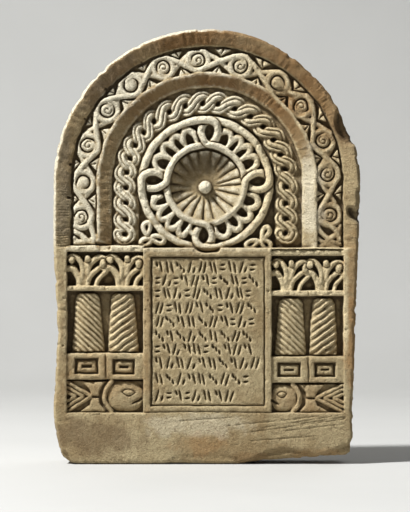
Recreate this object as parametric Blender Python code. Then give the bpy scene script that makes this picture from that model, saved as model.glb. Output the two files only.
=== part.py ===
"""Carved limestone stele with a round top.

One slab of stone, standing on its own underside. The face is a relief: a stepped arch with a
vine scroll and a two-strand guilloche, a knotted wreath around a fluted rosette, and below it an
inscribed panel between two pairs of twisted columns over a pair of fish.

The face is drawn as lines on the slab (x across, z up) and each line's point gets a depth below
the front plane. The lines are triangulated, and the sides and back close the solid.
Lengths are in metres, the slab's face looks along -Y, and the origin is under its middle.
"""

import math

import bmesh
import bpy
import numpy as np
from mathutils.geometry import delaunay_2d_cdt

# The slab
WIDTH = 0.566
HEIGHT = 0.803
THICKNESS = 0.100
EDGE_BEVEL = 0.0055
EDGE_BEVEL_DEPTH = 0.006
FEET = ((-0.207, -0.115), (0.012, 0.057))  # the two flats of the underside, from x to x
UNDERSIDE_WAVE = 0.0022
CORNER_RISE = 0.017  # how far the worn underside climbs to the right corner
SIDE_WEAR = 0.013  # how far the right side leans in towards the foot
LEFT_DIP = 0.0062  # hollow worn into the left side at column height

# Rows of the lower half, from the ground up
FOOT_ROW = 0.0955
FISH_ROW = 0.0590
BASE_ROW = 0.0512
SHAFT_ROW = 0.1105
ABACUS_ROW = 0.0148
CAPITAL_ROW = 0.0582
BEAM_ROW = 0.0143
RIGHT_DROP = 0.0052  # the right pair of columns stands this much lower than the left pair

# Bands of the arch, measured inwards from the edge of the slab
RIM_BAND = 0.0305
FRIEZE_BAND = 0.0490
FILLET = 0.0055
INNER_BAND = 0.0215
GUILLOCHE_BAND = 0.0450
WALL_DRAFT = 0.0012  # how far a carved wall leans over its height

# Depths below the front plane
RIM_DEPTH = 0.010
FRIEZE_FLOOR = 0.019
FRIEZE_TOP = 0.0095
FILLET_DEPTH = 0.008
INNER_BAND_DEPTH = 0.017
FIELD_FLOOR = 0.031
GUILLOCHE_TOP = 0.0155
STRAND_TOP = 0.0125
WAVE_TOP = 0.0165
NICHE_FLOOR = 0.022
BLOCK_TOP = 0.003
LEAF_TOP = 0.006

# Vine scroll
SCROLL_UNITS = 13
SCROLL_MARGIN = 0.0585
STEM_SWING = 0.0200
STEM_HALF = 0.0042
CURL_RADIUS = 0.0202
BUTTON_RADIUS = 0.0112
LEAFLET_LENGTH = 0.013

# Guilloche
EYES = 23
EYE_MARGIN = 0.0285
TWIST_SWING = 0.0130
TWIST_HALF = 0.0094
TWIST_DIP = 0.006  # how far a strand sinks to pass under the next

# Wreath of four linked loops, with a wavy strand between its rings
WREATH_SHIFT = -0.0028
WREATH_CLEARANCE = 0.0033
OUTER_STRAND = 0.0166
INNER_STRAND = 0.0136
RING_SPACING = 0.0460
LINK_OVERLAP = 0.0155  # how far a loop reaches past its knot
LINK_TURN = 0.0185
KNOT_DEGREES = (176.0, 85.5, 3.0, -92.0)
STRAND_LIFT = 0.004
WAVE_SWING = 0.0102
WAVE_HALF = 0.0052

# Rosette
PETALS = 20
ROSETTE_DROP = 0.0045
ROSETTE_RIM = 0.0085  # from the inner ring's middle line to the petals' ends
ROSETTE_DEPTHS = (0.019, 0.028)  # at the petals' ends and at the boss
PETAL_RISE = 0.0034
BOSS_RADIUS = 0.0128
BOSS_TOP = 0.0165

# Trefoils in the lower corners of the field
TREFOIL_LEAF = (0.0235, 0.0145)
TREFOIL_HALF = 0.0026
TREFOIL_TOP = 0.015

# Side panels with the columns and the fish
PANEL_BORDER = 0.0260
PANEL_JOINT = 0.0012
SHAFT_TOP_SHARE = 0.64
SHAFT_FOOT_SHARE = 0.83
SHAFT_ROUND = 0.008
FLUTES = 9
FLUTE_SLOPE = 0.75
FLUTE_DEPTH = 0.0030
CAPITAL_RIBS = (  # from the foot upwards, in shares of half the capital's width and of its height
    ((0.02, 0.22), (0.15, 0.55), (0.38, 0.82), (0.68, 0.93), (0.92, 0.84)),
    ((0.05, 0.04), (0.22, 0.36), (0.50, 0.55), (0.80, 0.60)),
    ((0.40, 0.02), (0.58, 0.30), (0.96, 0.50)),
)
RIB_HALF_SHARE = 0.12
VOLUTE_PLACE = (0.84, 0.73)
VOLUTE_SHARE = 0.15
COFFER = (0.0430, 0.0250)
COFFER_STEP = 0.0022
COFFER_SLOT = (0.0190, 0.0050)
COFFER_DEPTH = 0.010
FISH_TOP = 0.0045
HEAD_SHARES = (0.50, 0.43)  # length of the head in shares of the panel, left and right
GILL_GAP = 0.0062
TAIL_RAYS = (0.93, 0.79, 0.62, 0.38, 0.20, 0.06)  # ends of the tail's rays, in shares of the fish's height
EYE_RADII = (0.0075, 0.0052)
PUPIL_RADIUS = 0.0036
EYE_DEPTH = 0.0045

# Inscribed panel
FRAME_HALF_WIDTH = 0.1175
FRAME_BORDER = 0.0135
FRAME_GROOVE = 0.0030
GROOVE_DEPTH = 0.008
TABLET_DEPTH = 0.0035
ROWS = 10
MARKS_PER_ROW = 8
STROKE_HALF = 0.0019
STROKE_DEPTH = 0.0030

# How finely curves are drawn
ARC_STEP = math.radians(6)
LINK_STEP = math.radians(10)
NEAR = 1e-4
STONE = (0.55, 0.50, 0.40, 1.0)

RADIUS = WIDTH / 2
SPRING = HEIGHT - RADIUS
FISH_TOP_Z = FOOT_ROW + FISH_ROW
BEAM_TOP_Z = FISH_TOP_Z + BASE_ROW + SHAFT_ROW + ABACUS_ROW + CAPITAL_ROW + BEAM_ROW
ARCH_FOOT = BEAM_TOP_Z - RIGHT_DROP
LEG = SPRING - ARCH_FOOT
FRIEZE_OUT = RADIUS - RIM_BAND
FRIEZE_IN = FRIEZE_OUT - FRIEZE_BAND
FRIEZE_MID = (FRIEZE_OUT + FRIEZE_IN) / 2
BAND_OUT = FRIEZE_IN - FILLET
FIELD_RADIUS = BAND_OUT - INNER_BAND
GUILLOCHE_MID = FIELD_RADIUS - GUILLOCHE_BAND / 2
RING_RADIUS = FIELD_RADIUS - GUILLOCHE_BAND - WREATH_CLEARANCE - OUTER_STRAND / 2
INNER_RING = RING_RADIUS - RING_SPACING
ROSETTE_RADIUS = INNER_RING - ROSETTE_RIM
PANEL_IN = FRAME_HALF_WIDTH + PANEL_JOINT
PANEL_OUT = RADIUS - PANEL_BORDER

RIDGE = ((0.0, 1.0), (1.0, 0.0))
FLAT = ((0.55, 1.0), (1.0, 0.0))


# Curves
def points(*pairs):
    return np.array(pairs, float)


def spline(through, steps):
    """A Catmull-Rom curve through the given points, with this many steps to a span."""
    p = np.asarray(through, float)
    p = np.vstack([2 * p[0] - p[1], p, 2 * p[-1] - p[-2]])
    curve = []
    for a, b, c, d in zip(p, p[1:], p[2:], p[3:]):
        for t in np.arange(steps) / steps:
            curve.append(0.5 * (2 * b + (c - a) * t + (2 * a - 5 * b + 4 * c - d) * t**2
                                + (3 * b - a - 3 * c + d) * t**3))
    return np.array(curve + [p[-2]])


def circle(centre, radii, first=0.0, last=360.0, steps=24):
    angle = np.radians(np.linspace(first, last, steps + 1))
    return np.array(centre) + np.column_stack([radii[0] * np.cos(angle), radii[1] * np.sin(angle)])


def along_arch(length, radius, measured_on):
    """Where a length along the arch, measured on one radius, falls at another radius."""
    length, radius = np.broadcast_arrays(np.asarray(length, float), np.asarray(radius, float))
    turn = math.pi * measured_on
    angle = math.pi * (1 - np.clip((length - LEG) / turn, 0, 1))
    below = np.maximum(np.maximum(LEG - length, length - LEG - turn), 0)
    return np.column_stack([radius * np.cos(angle), SPRING + radius * np.sin(angle) - below])


def arch_line(radius):
    steps = max(4, round(math.pi / ARC_STEP))
    lengths = LEG + math.pi * radius * np.arange(steps + 1) / steps
    return along_arch(np.concatenate([[0], lengths, [2 * LEG + math.pi * radius]]), radius, radius)


def arch_radius(p):
    above = np.maximum(p[:, 1] - SPRING, 0)
    return np.hypot(p[:, 0], above)


def normals(path, closed=False):
    step = (np.roll(path, -1, 0) if closed else path[1:]) - (path if closed else path[:-1])
    step /= np.maximum(np.linalg.norm(step, axis=1, keepdims=True), 1e-12)
    along = step + np.roll(step, 1, 0) if closed else np.vstack([step[:1], step[1:] + step[:-1], step[-1:]])
    along /= np.linalg.norm(along, axis=1, keepdims=True)
    return np.column_stack([-along[:, 1], along[:, 0]])


def nearest(p, path, closed=False):
    """Distance of each point from a path, and how far along the path's points it is nearest."""
    start = path if closed else path[:-1]
    step = (np.roll(path, -1, 0) if closed else path[1:]) - start
    length2 = np.maximum((step**2).sum(1), 1e-18)
    best = np.full(len(p), np.inf)
    place = np.zeros(len(p))
    for i in range(len(start)):
        share = np.clip((p - start[i]) @ step[i] / length2[i], 0, 1)
        distance = np.linalg.norm(p - start[i] - share[:, None] * step[i], axis=1)
        closer = distance < best
        best[closer] = distance[closer]
        place[closer] = i + share[closer]
    return best, place


def inside(p, outline):
    """Which points lie in a closed outline."""
    x, z = p[:, 0], p[:, 1]
    odd = np.zeros(len(p), bool)
    for (x0, z0), (x1, z1) in zip(outline, np.roll(outline, -1, 0)):
        spans = (z0 > z) != (z1 > z)
        odd[spans] ^= x[spans] < (x1 - x0) * (z[spans] - z0) / (z1 - z0) + x0
    return odd


def closed_line(outline):
    return np.vstack([outline, outline[:1]])


# Carving. A cut deepens the surface and a raised form stands in front of it.
class Strip:
    """A ridge or groove along a path. The section pairs shares of the half width and of the rise."""

    def __init__(self, path, half, top, foot, section=RIDGE, closed=False):
        self.path, self.section, self.closed, self.foot = np.asarray(path, float), section, closed, foot
        self.half = np.broadcast_to(np.asarray(half, float), len(path))
        self.top = np.broadcast_to(np.asarray(top, float), len(path))
        self.raised = self.top.min() < foot

    def depth(self, p):
        result = np.full(len(p), np.inf if self.raised else -np.inf)
        reach = self.half.max()
        near = ((p > self.path.min(0) - reach) & (p < self.path.max(0) + reach)).all(1)
        if not near.any():
            return result
        distance, place = nearest(p[near], self.path, self.closed)
        count = np.arange(len(self.path) + self.closed)
        wrapped = count % len(self.path)
        half = np.maximum(np.interp(place, count, self.half[wrapped]), 1e-9)
        top = np.interp(place, count, self.top[wrapped])
        share = distance / half
        rise = np.interp(share, *zip(*self.section))
        found = self.foot + (top - self.foot) * rise
        found[share > 1 + 1e-6] = result[0]
        result[near] = found
        return result

    def lines(self):
        side = normals(self.path, self.closed)
        for share, _ in self.section:
            if share == 0:
                yield closed_line(self.path) if self.closed else self.path
                continue
            left = self.path + side * (share * self.half)[:, None]
            right = self.path - side * (share * self.half)[:, None]
            if self.closed:
                yield closed_line(left)
                yield closed_line(right)
            else:
                yield closed_line(np.vstack([left, self._cap(-1, share), right[::-1], self._cap(0, share)]))

    def _cap(self, end, share):
        """The point that closes a blunt end off, beyond the path's last or first point."""
        if self.half[end] < NEAR or share < 1:
            return np.zeros((0, 2))
        tip, inner = self.path[end], self.path[end - 1 if end else 1]
        return (tip + self.half[end] * (tip - inner) / np.linalg.norm(tip - inner))[None]


class Patch:
    """An area inside an outline, at one depth or at a depth worked out for each point."""

    def __init__(self, outline, top, foot, draft=WALL_DRAFT, raised=True, extra=()):
        self.outline, self.top, self.foot = np.asarray(outline, float), top, foot
        self.draft, self.raised, self.extra = draft, raised, extra

    def depth(self, p):
        result = np.full(len(p), np.inf if self.raised else -np.inf)
        near = ((p > self.outline.min(0) - NEAR) & (p < self.outline.max(0) + NEAR)).all(1)
        if not near.any():
            return result
        q = p[near]
        distance, _ = nearest(q, self.outline, True)
        within = inside(q, self.outline) | (distance < 1e-7)
        top = self.top(q) if callable(self.top) else self.top
        found = self.foot + (top - self.foot) * np.clip(distance / self.draft, 0, 1)
        result[near] = np.where(within, found, result[0])
        return result

    def lines(self):
        turned = normals(self.outline, True)
        area = np.cross(self.outline, np.roll(self.outline, -1, 0)).sum()
        step = np.roll(self.outline, -1, 0) - self.outline
        step /= np.linalg.norm(step, axis=1, keepdims=True)
        corner = np.clip(-(step * np.roll(step, 1, 0)).sum(1), -1, 1)
        mitre = np.minimum(1 / np.maximum(np.sin(np.arccos(corner) / 2), 0.3), 2)
        yield closed_line(self.outline)
        yield closed_line(self.outline + turned * (math.copysign(self.draft, area) * mitre)[:, None])
        yield from self.extra


class Stroke:
    """A short chisel stroke: a V-shaped cut that is deepest at its middle and runs out to both ends."""

    raised = False

    def __init__(self, start, end, half, top, foot):
        self.middle, self.reach = (start + end) / 2, (end - start) / 2
        self.side = np.array([-self.reach[1], self.reach[0]]) * half / np.linalg.norm(self.reach)
        self.top, self.foot = top, foot

    def depth(self, p):
        away = p - self.middle
        along = np.abs(away @ self.reach) / (self.reach @ self.reach)
        across = np.abs(away @ self.side) / (self.side @ self.side)
        share = 1 - along - across
        return np.where(share < -1e-6, -np.inf, self.foot + (self.top - self.foot) * np.maximum(share, 0))

    def lines(self):
        yield self.middle + np.array([-self.reach, self.side, self.reach, -self.side, -self.reach])
        yield self.middle + np.array([-self.reach, self.reach * 0, self.reach])


class ArchSteps:
    """The concentric bands of the arch: a depth for each radius, cut from the arch's foot upwards."""

    SECTION = (
        (0.0, FIELD_FLOOR),
        (FIELD_RADIUS - WALL_DRAFT, FIELD_FLOOR),
        (FIELD_RADIUS, INNER_BAND_DEPTH),
        (BAND_OUT, FILLET_DEPTH),
        (FRIEZE_IN, FILLET_DEPTH + 0.001),
        (FRIEZE_IN + WALL_DRAFT, FRIEZE_FLOOR),
        (FRIEZE_OUT - WALL_DRAFT, FRIEZE_FLOOR),
        (FRIEZE_OUT, RIM_DEPTH),
        (RADIUS - EDGE_BEVEL, 0.0),
    )
    raised = False

    def depth(self, p):
        found = np.interp(arch_radius(p), *zip(*self.SECTION))
        height = (p[:, 1] - ARCH_FOOT) / WALL_DRAFT
        return np.where(height < -1e-6, -np.inf, found * np.clip(height, 0, 1))

    def lines(self):
        for radius, _ in self.SECTION[1:-1]:
            yield arch_line(radius)
        for z in (ARCH_FOOT, ARCH_FOOT + WALL_DRAFT):
            yield points((EDGE_BEVEL - RADIUS, z), (RADIUS - EDGE_BEVEL, z))


# The arch's ornament
def scroll_frieze():
    """A vine that swings from side to side of the band, with a curl and a button in each swing."""
    total = 2 * LEG + math.pi * FRIEZE_MID
    pitch = (total - 2 * SCROLL_MARGIN) / (SCROLL_UNITS - 1)
    lengths = np.arange(0.006, total - 0.006, pitch / 5)
    swing = -STEM_SWING * np.cos(math.pi * (lengths - SCROLL_MARGIN) / pitch)
    yield Strip(along_arch(lengths, FRIEZE_MID + swing, FRIEZE_MID), STEM_HALF, FRIEZE_TOP, FRIEZE_FLOOR)
    for unit in range(SCROLL_UNITS):
        middle = SCROLL_MARGIN + unit * pitch
        way = 1 if unit % 2 == 0 else -1
        here, ahead = along_arch([middle, middle + NEAR], FRIEZE_MID, FRIEZE_MID)
        tangent = (ahead - here) / np.linalg.norm(ahead - here)
        outward = np.array([-tangent[1], tangent[0]])
        frame = np.array([tangent, outward]) * way
        turn = np.linspace(0, 1, 9)
        angle = np.radians(235 - 325 * turn)
        winding = np.clip((turn - 0.55) / 0.45, 0, 1) ** 1.5
        reach = CURL_RADIUS - (CURL_RADIUS - BUTTON_RADIUS) * winding
        curl = np.column_stack([reach * np.cos(angle), reach * np.sin(angle)])
        yield Strip(here + curl @ frame, STEM_HALF * 0.95, FRIEZE_TOP, FRIEZE_FLOOR)
        button = circle((0, 0), (BUTTON_RADIUS * 0.86,) * 2, steps=6)[:-1]
        yield Patch(here + button @ frame, FRIEZE_TOP + 0.0005, FRIEZE_FLOOR, draft=0.004)
        if unit < SCROLL_UNITS - 1:
            crossing = middle + pitch / 2
            for side in (1, -1):
                lengths = crossing - way * side * np.array([0.003, 0.009])
                radii = FRIEZE_MID + side * np.array([FRIEZE_BAND / 2 - LEAFLET_LENGTH, FRIEZE_BAND / 2 - 0.002])
                leaflet = along_arch(lengths, radii, FRIEZE_MID)
                yield Strip(leaflet, (0.0008, 0.0042), FRIEZE_TOP + 0.001, FRIEZE_FLOOR)


def guilloche():
    """Two strands twisted together. Each S-shaped stretch passes over at its middle and under at its ends."""
    total = 2 * LEG + math.pi * GUILLOCHE_MID
    pitch = (total - 2 * EYE_MARGIN) / (EYES - 1)
    first, last = EYE_MARGIN, total - EYE_MARGIN
    for unit in range(-1, EYES):
        begin = EYE_MARGIN + unit * pitch
        phase = np.linspace(-0.5, 1.5, 8)
        lengths = begin + phase * pitch
        kept = (lengths > first - NEAR) & (lengths < last + NEAR)
        phase, lengths = phase[kept], lengths[kept]
        radii = GUILLOCHE_MID - TWIST_SWING * np.cos(math.pi * phase)
        top = GUILLOCHE_TOP + TWIST_DIP * np.clip(2 * np.abs(phase - 0.5) - 0.9, 0, 1)
        yield Strip(along_arch(lengths, radii, GUILLOCHE_MID), TWIST_HALF, top, FIELD_FLOOR)
    for end, facing in ((first, 1), (last, -1)):
        angle = np.radians(np.linspace(90, 270, 6))
        lengths = end + facing * TWIST_SWING * np.cos(angle)
        radii = GUILLOCHE_MID + TWIST_SWING * np.sin(angle)
        yield Strip(along_arch(lengths, radii, GUILLOCHE_MID), TWIST_HALF, GUILLOCHE_TOP, FIELD_FLOOR)


# The wreath and the rosette
WREATH_CENTRE = np.array([WREATH_SHIFT, SPRING])
WREATH_MID = (RING_RADIUS + INNER_RING) / 2


def wreath_point(angle, radius):
    return WREATH_CENTRE + np.column_stack([radius * np.cos(angle), radius * np.sin(angle)])


def ease(t):
    t = np.clip(t, 0, 1)
    return t * t * (3 - 2 * t)


def wreath_link(start, end):
    """One loop of the wreath, clockwise from its start knot along the outer ring and back along the inner."""
    inset = (LINK_TURN - LINK_OVERLAP) / WREATH_MID
    turn = np.linspace(90, -90, 7)[1:-1]
    swing, side = np.cos(np.radians(turn)), np.sin(np.radians(turn))
    arc = np.linspace(0, 1, 1 + round((start - end) / LINK_STEP))
    tilt = ease((arc - 0.8) / 0.2) - ease((0.2 - arc) / 0.2)
    half_gap = RING_SPACING / 2
    first, last = start - inset, end + inset
    angles = np.concatenate([first + (last - first) * arc, last - swing * LINK_TURN / WREATH_MID,
                             last + (first - last) * arc, first + swing * LINK_TURN / WREATH_MID])
    radii = np.concatenate([np.full(len(arc), RING_RADIUS), WREATH_MID + half_gap * side,
                            np.full(len(arc), INNER_RING), WREATH_MID - half_gap * side])
    over = np.concatenate([tilt, side, tilt, side])
    outwards = (radii - INNER_RING) / RING_SPACING
    half = (INNER_STRAND + (OUTER_STRAND - INNER_STRAND) * outwards) / 2
    top = STRAND_TOP - STRAND_LIFT * over
    return Strip(wreath_point(angles, radii), half, top, FIELD_FLOOR, FLAT, closed=True)


def wreath():
    knots = np.radians(KNOT_DEGREES)
    for start, end in zip(knots, np.roll(knots, -1)):
        end = end if end < start else end - 2 * math.pi
        yield wreath_link(start, end)
        period = (start - end) / 6
        angle = np.linspace(start - period * 0.75, end + period * 0.75, 19)
        swing = -WAVE_SWING * np.cos(2 * math.pi * (angle - (start + end) / 2) / period)
        yield Strip(wreath_point(angle, WREATH_MID + swing), WAVE_HALF, WAVE_TOP, FIELD_FLOOR)


def rosette():
    """Petals that radiate from a round boss in a shallow dish."""
    centre = WREATH_CENTRE - (0, ROSETTE_DROP)
    rim, hub = ROSETTE_RADIUS, BOSS_RADIUS * 0.95
    sector = 2 * math.pi / PETALS

    def dish(p):
        away = p - centre
        distance = np.hypot(*away.T)
        across = np.abs((np.arctan2(away[:, 1], away[:, 0]) / sector) % 1 - 0.5) * 2
        floor = np.interp(distance, (hub, rim), ROSETTE_DEPTHS[::-1])
        return floor - PETAL_RISE * (1 - across) * np.clip(distance / rim, 0.25, 1)

    spokes = [centre + np.outer((hub, rim - WALL_DRAFT), (math.cos(a), math.sin(a)))
              for a in np.arange(2 * PETALS) * sector / 2]
    petals = circle(centre, (rim, rim), steps=2 * PETALS)[:-1]
    yield Patch(petals, dish, FIELD_FLOOR, extra=spokes)
    boss = circle(centre, (BOSS_RADIUS,) * 2, steps=10)[:-1]
    yield Patch(boss, BOSS_TOP, ROSETTE_DEPTHS[1], draft=BOSS_RADIUS * 0.5)


def trefoil(stem, leaf_degrees):
    """Three loop-shaped leaves that spring from one point."""
    length, width = TREFOIL_LEAF
    turn = np.linspace(0, 2 * math.pi, 9)[:-1]
    loop = np.column_stack([length / 2 * (1 - np.cos(turn)), width / 2 * np.sin(turn) * np.abs(np.sin(turn / 2))])
    loop = loop * (1 - TREFOIL_HALF / length) + (0.001, 0)
    for degrees in leaf_degrees:
        c, s = math.cos(math.radians(degrees)), math.sin(math.radians(degrees))
        yield Strip(np.array(stem) + loop @ [[c, s], [-s, c]], TREFOIL_HALF, TREFOIL_TOP, FIELD_FLOOR, closed=True)


def trefoils():
    drop = ARCH_FOOT + 0.0235
    yield from trefoil((-0.1040, drop + 0.001), (108, 228, 345))
    yield from trefoil((0.0965, drop - 0.003), (42, 219, 320))


# The side panels
def rectangle(x0, z0, x1, z1):
    return points((x0, z0), (x1, z0), (x1, z1), (x0, z1))


def column_shaft(middle, half_width, foot, top, lean):
    """A tapering shaft with flutes that run aslant."""
    half_top, half_foot = half_width * SHAFT_TOP_SHARE, half_width * SHAFT_FOOT_SHARE
    outline = points((middle - half_foot, foot), (middle + half_foot, foot), (middle + half_top, top),
                     (middle - half_top, top))
    pitch = (top - foot) / (FLUTES - 1)

    def surface(p):
        half = np.interp(p[:, 1], (foot, top), (half_foot, half_top))
        across = (p[:, 0] - middle) / half
        wave = np.abs(((p[:, 1] - foot - lean * FLUTE_SLOPE * (p[:, 0] - middle)) / pitch) % 1 - 0.5) * 2
        return FISH_TOP + SHAFT_ROUND * across**2 + FLUTE_DEPTH * (1 - wave)

    cuts = []
    for number in np.arange(-8, 2 * FLUTES + 8) / 2:
        level = foot + number * pitch
        x = np.array([-0.93, 0.0, 0.93]) * half_foot
        line = np.column_stack([middle + x, level + lean * FLUTE_SLOPE * x])
        edge = np.interp(line[:, 1], (foot, top), (half_foot, half_top)) * 0.93
        line[:, 0] = np.clip(line[:, 0], middle - edge, middle + edge)
        line[:, 1] = level + lean * FLUTE_SLOPE * (line[:, 0] - middle)
        cuts.append(line)
    return Patch(outline, surface, NICHE_FLOOR, extra=cuts)


def capital(middle, half_width, foot, height):
    """A palm capital: three arched ribs to each side, with a volute and a bud."""
    size = np.array([half_width * 0.97, height])
    rib_half, volute_radius = half_width * RIB_HALF_SHARE, half_width * VOLUTE_SHARE
    for side in (1, -1):
        for rib in CAPITAL_RIBS:
            path = (middle, foot) + np.array(rib) * size * (side, 1)
            yield Strip(path, rib_half, LEAF_TOP, NICHE_FLOOR)
        across, up = VOLUTE_PLACE
        volute = (middle + side * half_width * across, foot + height * up)
        yield Patch(circle(volute, (volute_radius,) * 2, steps=6)[:-1], LEAF_TOP, NICHE_FLOOR, draft=0.003)
    stalk = points((middle, foot), (middle, foot + height * 0.60))
    yield Strip(stalk, rib_half, LEAF_TOP + 0.002, NICHE_FLOOR)
    bud = circle((middle, foot + height * 0.84), (volute_radius, height * 0.12), steps=6)[:-1]
    yield Patch(bud, LEAF_TOP, NICHE_FLOOR, draft=0.003)


def base_block(x0, x1, foot, top):
    """A square base with a sunk coffer and a slotted block in it."""
    yield Patch(rectangle(x0, foot, x1, top), BLOCK_TOP, NICHE_FLOOR)
    centre = np.array([(x0 + x1) / 2, (foot + top) / 2])
    shapes = (
        (COFFER, COFFER_DEPTH + BLOCK_TOP, BLOCK_TOP, WALL_DRAFT, False),
        ([side - 2 * COFFER_STEP for side in COFFER], BLOCK_TOP + 0.003, COFFER_DEPTH + BLOCK_TOP, 0.005, True),
        (COFFER_SLOT, COFFER_DEPTH + BLOCK_TOP, BLOCK_TOP + 0.003, WALL_DRAFT, False),
    )
    for (width, height), top_depth, foot_depth, draft, raised in shapes:
        x, z = centre
        outline = rectangle(x - width / 2, z - height / 2, x + width / 2, z + height / 2)
        yield Patch(outline, top_depth, foot_depth, draft, raised)


def fish(tail_x, nose_x, foot, top, head_share):
    """A fish that looks towards the middle, with a fanned tail."""
    length, height = nose_x - tail_x, top - foot

    def at(*shares):
        return np.array(shares) * (length, height) + (tail_x, foot)

    head_length = abs(length) * head_share
    way = math.copysign(1, length)
    head_x = nose_x - way * (head_length / 2 + 0.001)
    head = circle((head_x, foot + height * 0.48), (head_length / 2 - 0.001, height * 0.465), steps=12)[:-1]
    yield Patch(head, FISH_TOP, NICHE_FLOOR, draft=0.004)
    sweep = (118, 242) if way > 0 else (62, -62)
    gill = circle((head_x, foot + height * 0.48), (head_length / 2 + GILL_GAP, height * 0.50), *sweep, steps=7)
    yield Strip(gill, 0.0038, FISH_TOP + 0.001, NICHE_FLOOR, FLAT)
    neck = 1 - head_share - GILL_GAP * 2 / abs(length)
    yield Patch(at((0.25, 0.97), (neck, 0.97), (neck - 0.05, 0.52), (0.32, 0.52)), FISH_TOP, NICHE_FLOOR)
    yield Patch(at((0.32, 0.48), (neck - 0.05, 0.48), (neck - 0.01, 0.05), (0.24, 0.05)), FISH_TOP, NICHE_FLOOR)
    for end in TAIL_RAYS:
        bend = 0.5 + (end - 0.5) * 0.62
        yield Strip(at((0.30, 0.50 + (end - 0.5) * 0.1), (0.16, bend), (0.02, end)), 0.0032,
                    FISH_TOP + 0.001, NICHE_FLOOR)
    eye = (head_x + way * 0.003, foot + height * 0.61)
    yield Patch(circle(eye, EYE_RADII, steps=8)[:-1], FISH_TOP + EYE_DEPTH, FISH_TOP, 0.002, raised=False)
    yield Patch(circle(eye, (PUPIL_RADIUS,) * 2, steps=6)[:-1], FISH_TOP, FISH_TOP + EYE_DEPTH, 0.0012)
    lip = points((head_x + way * head_length * 0.18, foot + height * 0.27),
                 (head_x + way * head_length * 0.34, foot + height * 0.36),
                 (head_x + way * head_length * 0.47, foot + height * 0.42))
    yield Strip(lip, (0.0003, 0.0020, 0.0022), FISH_TOP + 0.006, FISH_TOP)


def side_panel(side):
    """One pair of columns with its capitals, bases and fish. Side is -1 on the left and 1 on the right."""
    drop = RIGHT_DROP if side > 0 else 0.0
    x0, x1 = sorted((side * PANEL_IN, side * PANEL_OUT))
    fish_top = FISH_TOP_Z - drop
    base_top = fish_top + BASE_ROW
    shaft_top = base_top + SHAFT_ROW
    capital_foot = shaft_top + ABACUS_ROW
    capital_top = capital_foot + CAPITAL_ROW
    yield Patch(rectangle(x0, FOOT_ROW, x1, capital_top + BEAM_ROW - WALL_DRAFT), NICHE_FLOOR, 0.0, raised=False)
    middle, joint = (x0 + x1) / 2, PANEL_JOINT
    yield Patch(rectangle(x0 + joint, capital_top, x1 - joint, capital_top + BEAM_ROW), BLOCK_TOP, NICHE_FLOOR)
    half_width = (x1 - x0) / 4
    for left, right, lean in ((x0 + joint, middle - joint / 2, -1), (middle + joint / 2, x1 - joint, 1)):
        centre = (left + right) / 2
        yield Patch(rectangle(left, shaft_top, right, capital_foot), BLOCK_TOP, NICHE_FLOOR)
        yield from base_block(left, right, fish_top, base_top - joint)
        yield column_shaft(centre, half_width, base_top - joint, shaft_top, lean)
        yield from capital(centre, half_width, capital_foot, CAPITAL_ROW)
    tail_x, nose_x = side * PANEL_OUT, side * PANEL_IN
    yield from fish(tail_x, nose_x, FOOT_ROW, fish_top - joint, HEAD_SHARES[0 if side < 0 else 1])


# The inscribed panel
def tablet():
    """The sunk writing field inside its grooved frame."""
    x, z0, z1 = FRAME_HALF_WIDTH - FRAME_BORDER, FOOT_ROW + FRAME_BORDER * 0.85, ARCH_FOOT - FRAME_BORDER * 1.1
    field = rectangle(-x, z0, x, z1)
    yield Patch(field, TABLET_DEPTH, 0.0, raised=False)
    yield Strip(field, FRAME_GROOVE / 2, GROOVE_DEPTH, 0.0, closed=True)
    yield from inscription(x, z0, z1)


def inscription(half_width, bottom, top):
    """Rows of short chiselled strokes that stand for writing. No two strokes touch, so none makes a letter."""
    row_height = (top - bottom) / (ROWS + 0.4)
    cell = 2 * half_width / (MARKS_PER_ROW + 0.6)
    for row in range(ROWS):
        level = top - row_height * (row + 0.75)
        for mark in range(MARKS_PER_ROW):
            kind = (row * 7 + mark * 5 + row * mark) % 6
            x = -half_width + cell * (mark + 0.85)
            tall, slant = row_height * 0.36, (kind - 2.5) * cell * 0.09
            if kind == 3:
                strokes = (((0, -0.7), (0.2, 0.1)), ((-0.2, 0.45), (0.2, 0.55)))
            elif kind == 5:
                strokes = (((-0.22, -0.8), (-0.12, 0.9)), ((0.2, -0.5), (0.25, 0.5)))
            else:
                strokes = (((0, -1), (0, 1)),)
            for (x0, z0), (x1, z1) in strokes:
                start = points(x + x0 * cell - slant, level + z0 * tall)
                end = points(x + x1 * cell + slant, level + z1 * tall)
                yield Stroke(start, end, STROKE_HALF, TABLET_DEPTH + STROKE_DEPTH, TABLET_DEPTH)


# Damage
def chips():
    """Breaks at the edges of the slab: the right side, the right shoulder and the lower corners."""
    side, foot = RADIUS, 0.0
    shoulder = SPRING + RADIUS * 0.43
    breaks = (
        (points((side * 0.925, SPRING - 0.060), (side * 0.945, SPRING - 0.046), (side * 1.02, SPRING - 0.036),
                (side * 1.02, SPRING - 0.076), (side * 0.95, SPRING - 0.072)), 0.018, 0.005),
        (points((side * 0.862, shoulder + 0.012), (side * 0.97, shoulder + 0.008), (side * 1.02, shoulder - 0.045),
                (side * 0.935, shoulder - 0.034), (side * 0.880, shoulder - 0.010)), 0.012, 0.007),
        (points((side * 0.36, foot - 0.01), (side * 0.96, foot - 0.01), (side * 0.93, foot + 0.030),
                (side * 0.70, foot + 0.029), (side * 0.52, foot + 0.034)), 0.005, 0.012),
        (points((-side * 1.02, foot - 0.01), (-side * 0.78, foot - 0.01), (-side * 0.90, foot + 0.022),
                (-side * 0.945, foot + 0.050), (-side * 1.02, foot + 0.060)), 0.009, 0.010),
    )
    for outline, depth, draft in breaks:
        yield Patch(outline, depth, 0.0, draft, raised=False)


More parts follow.
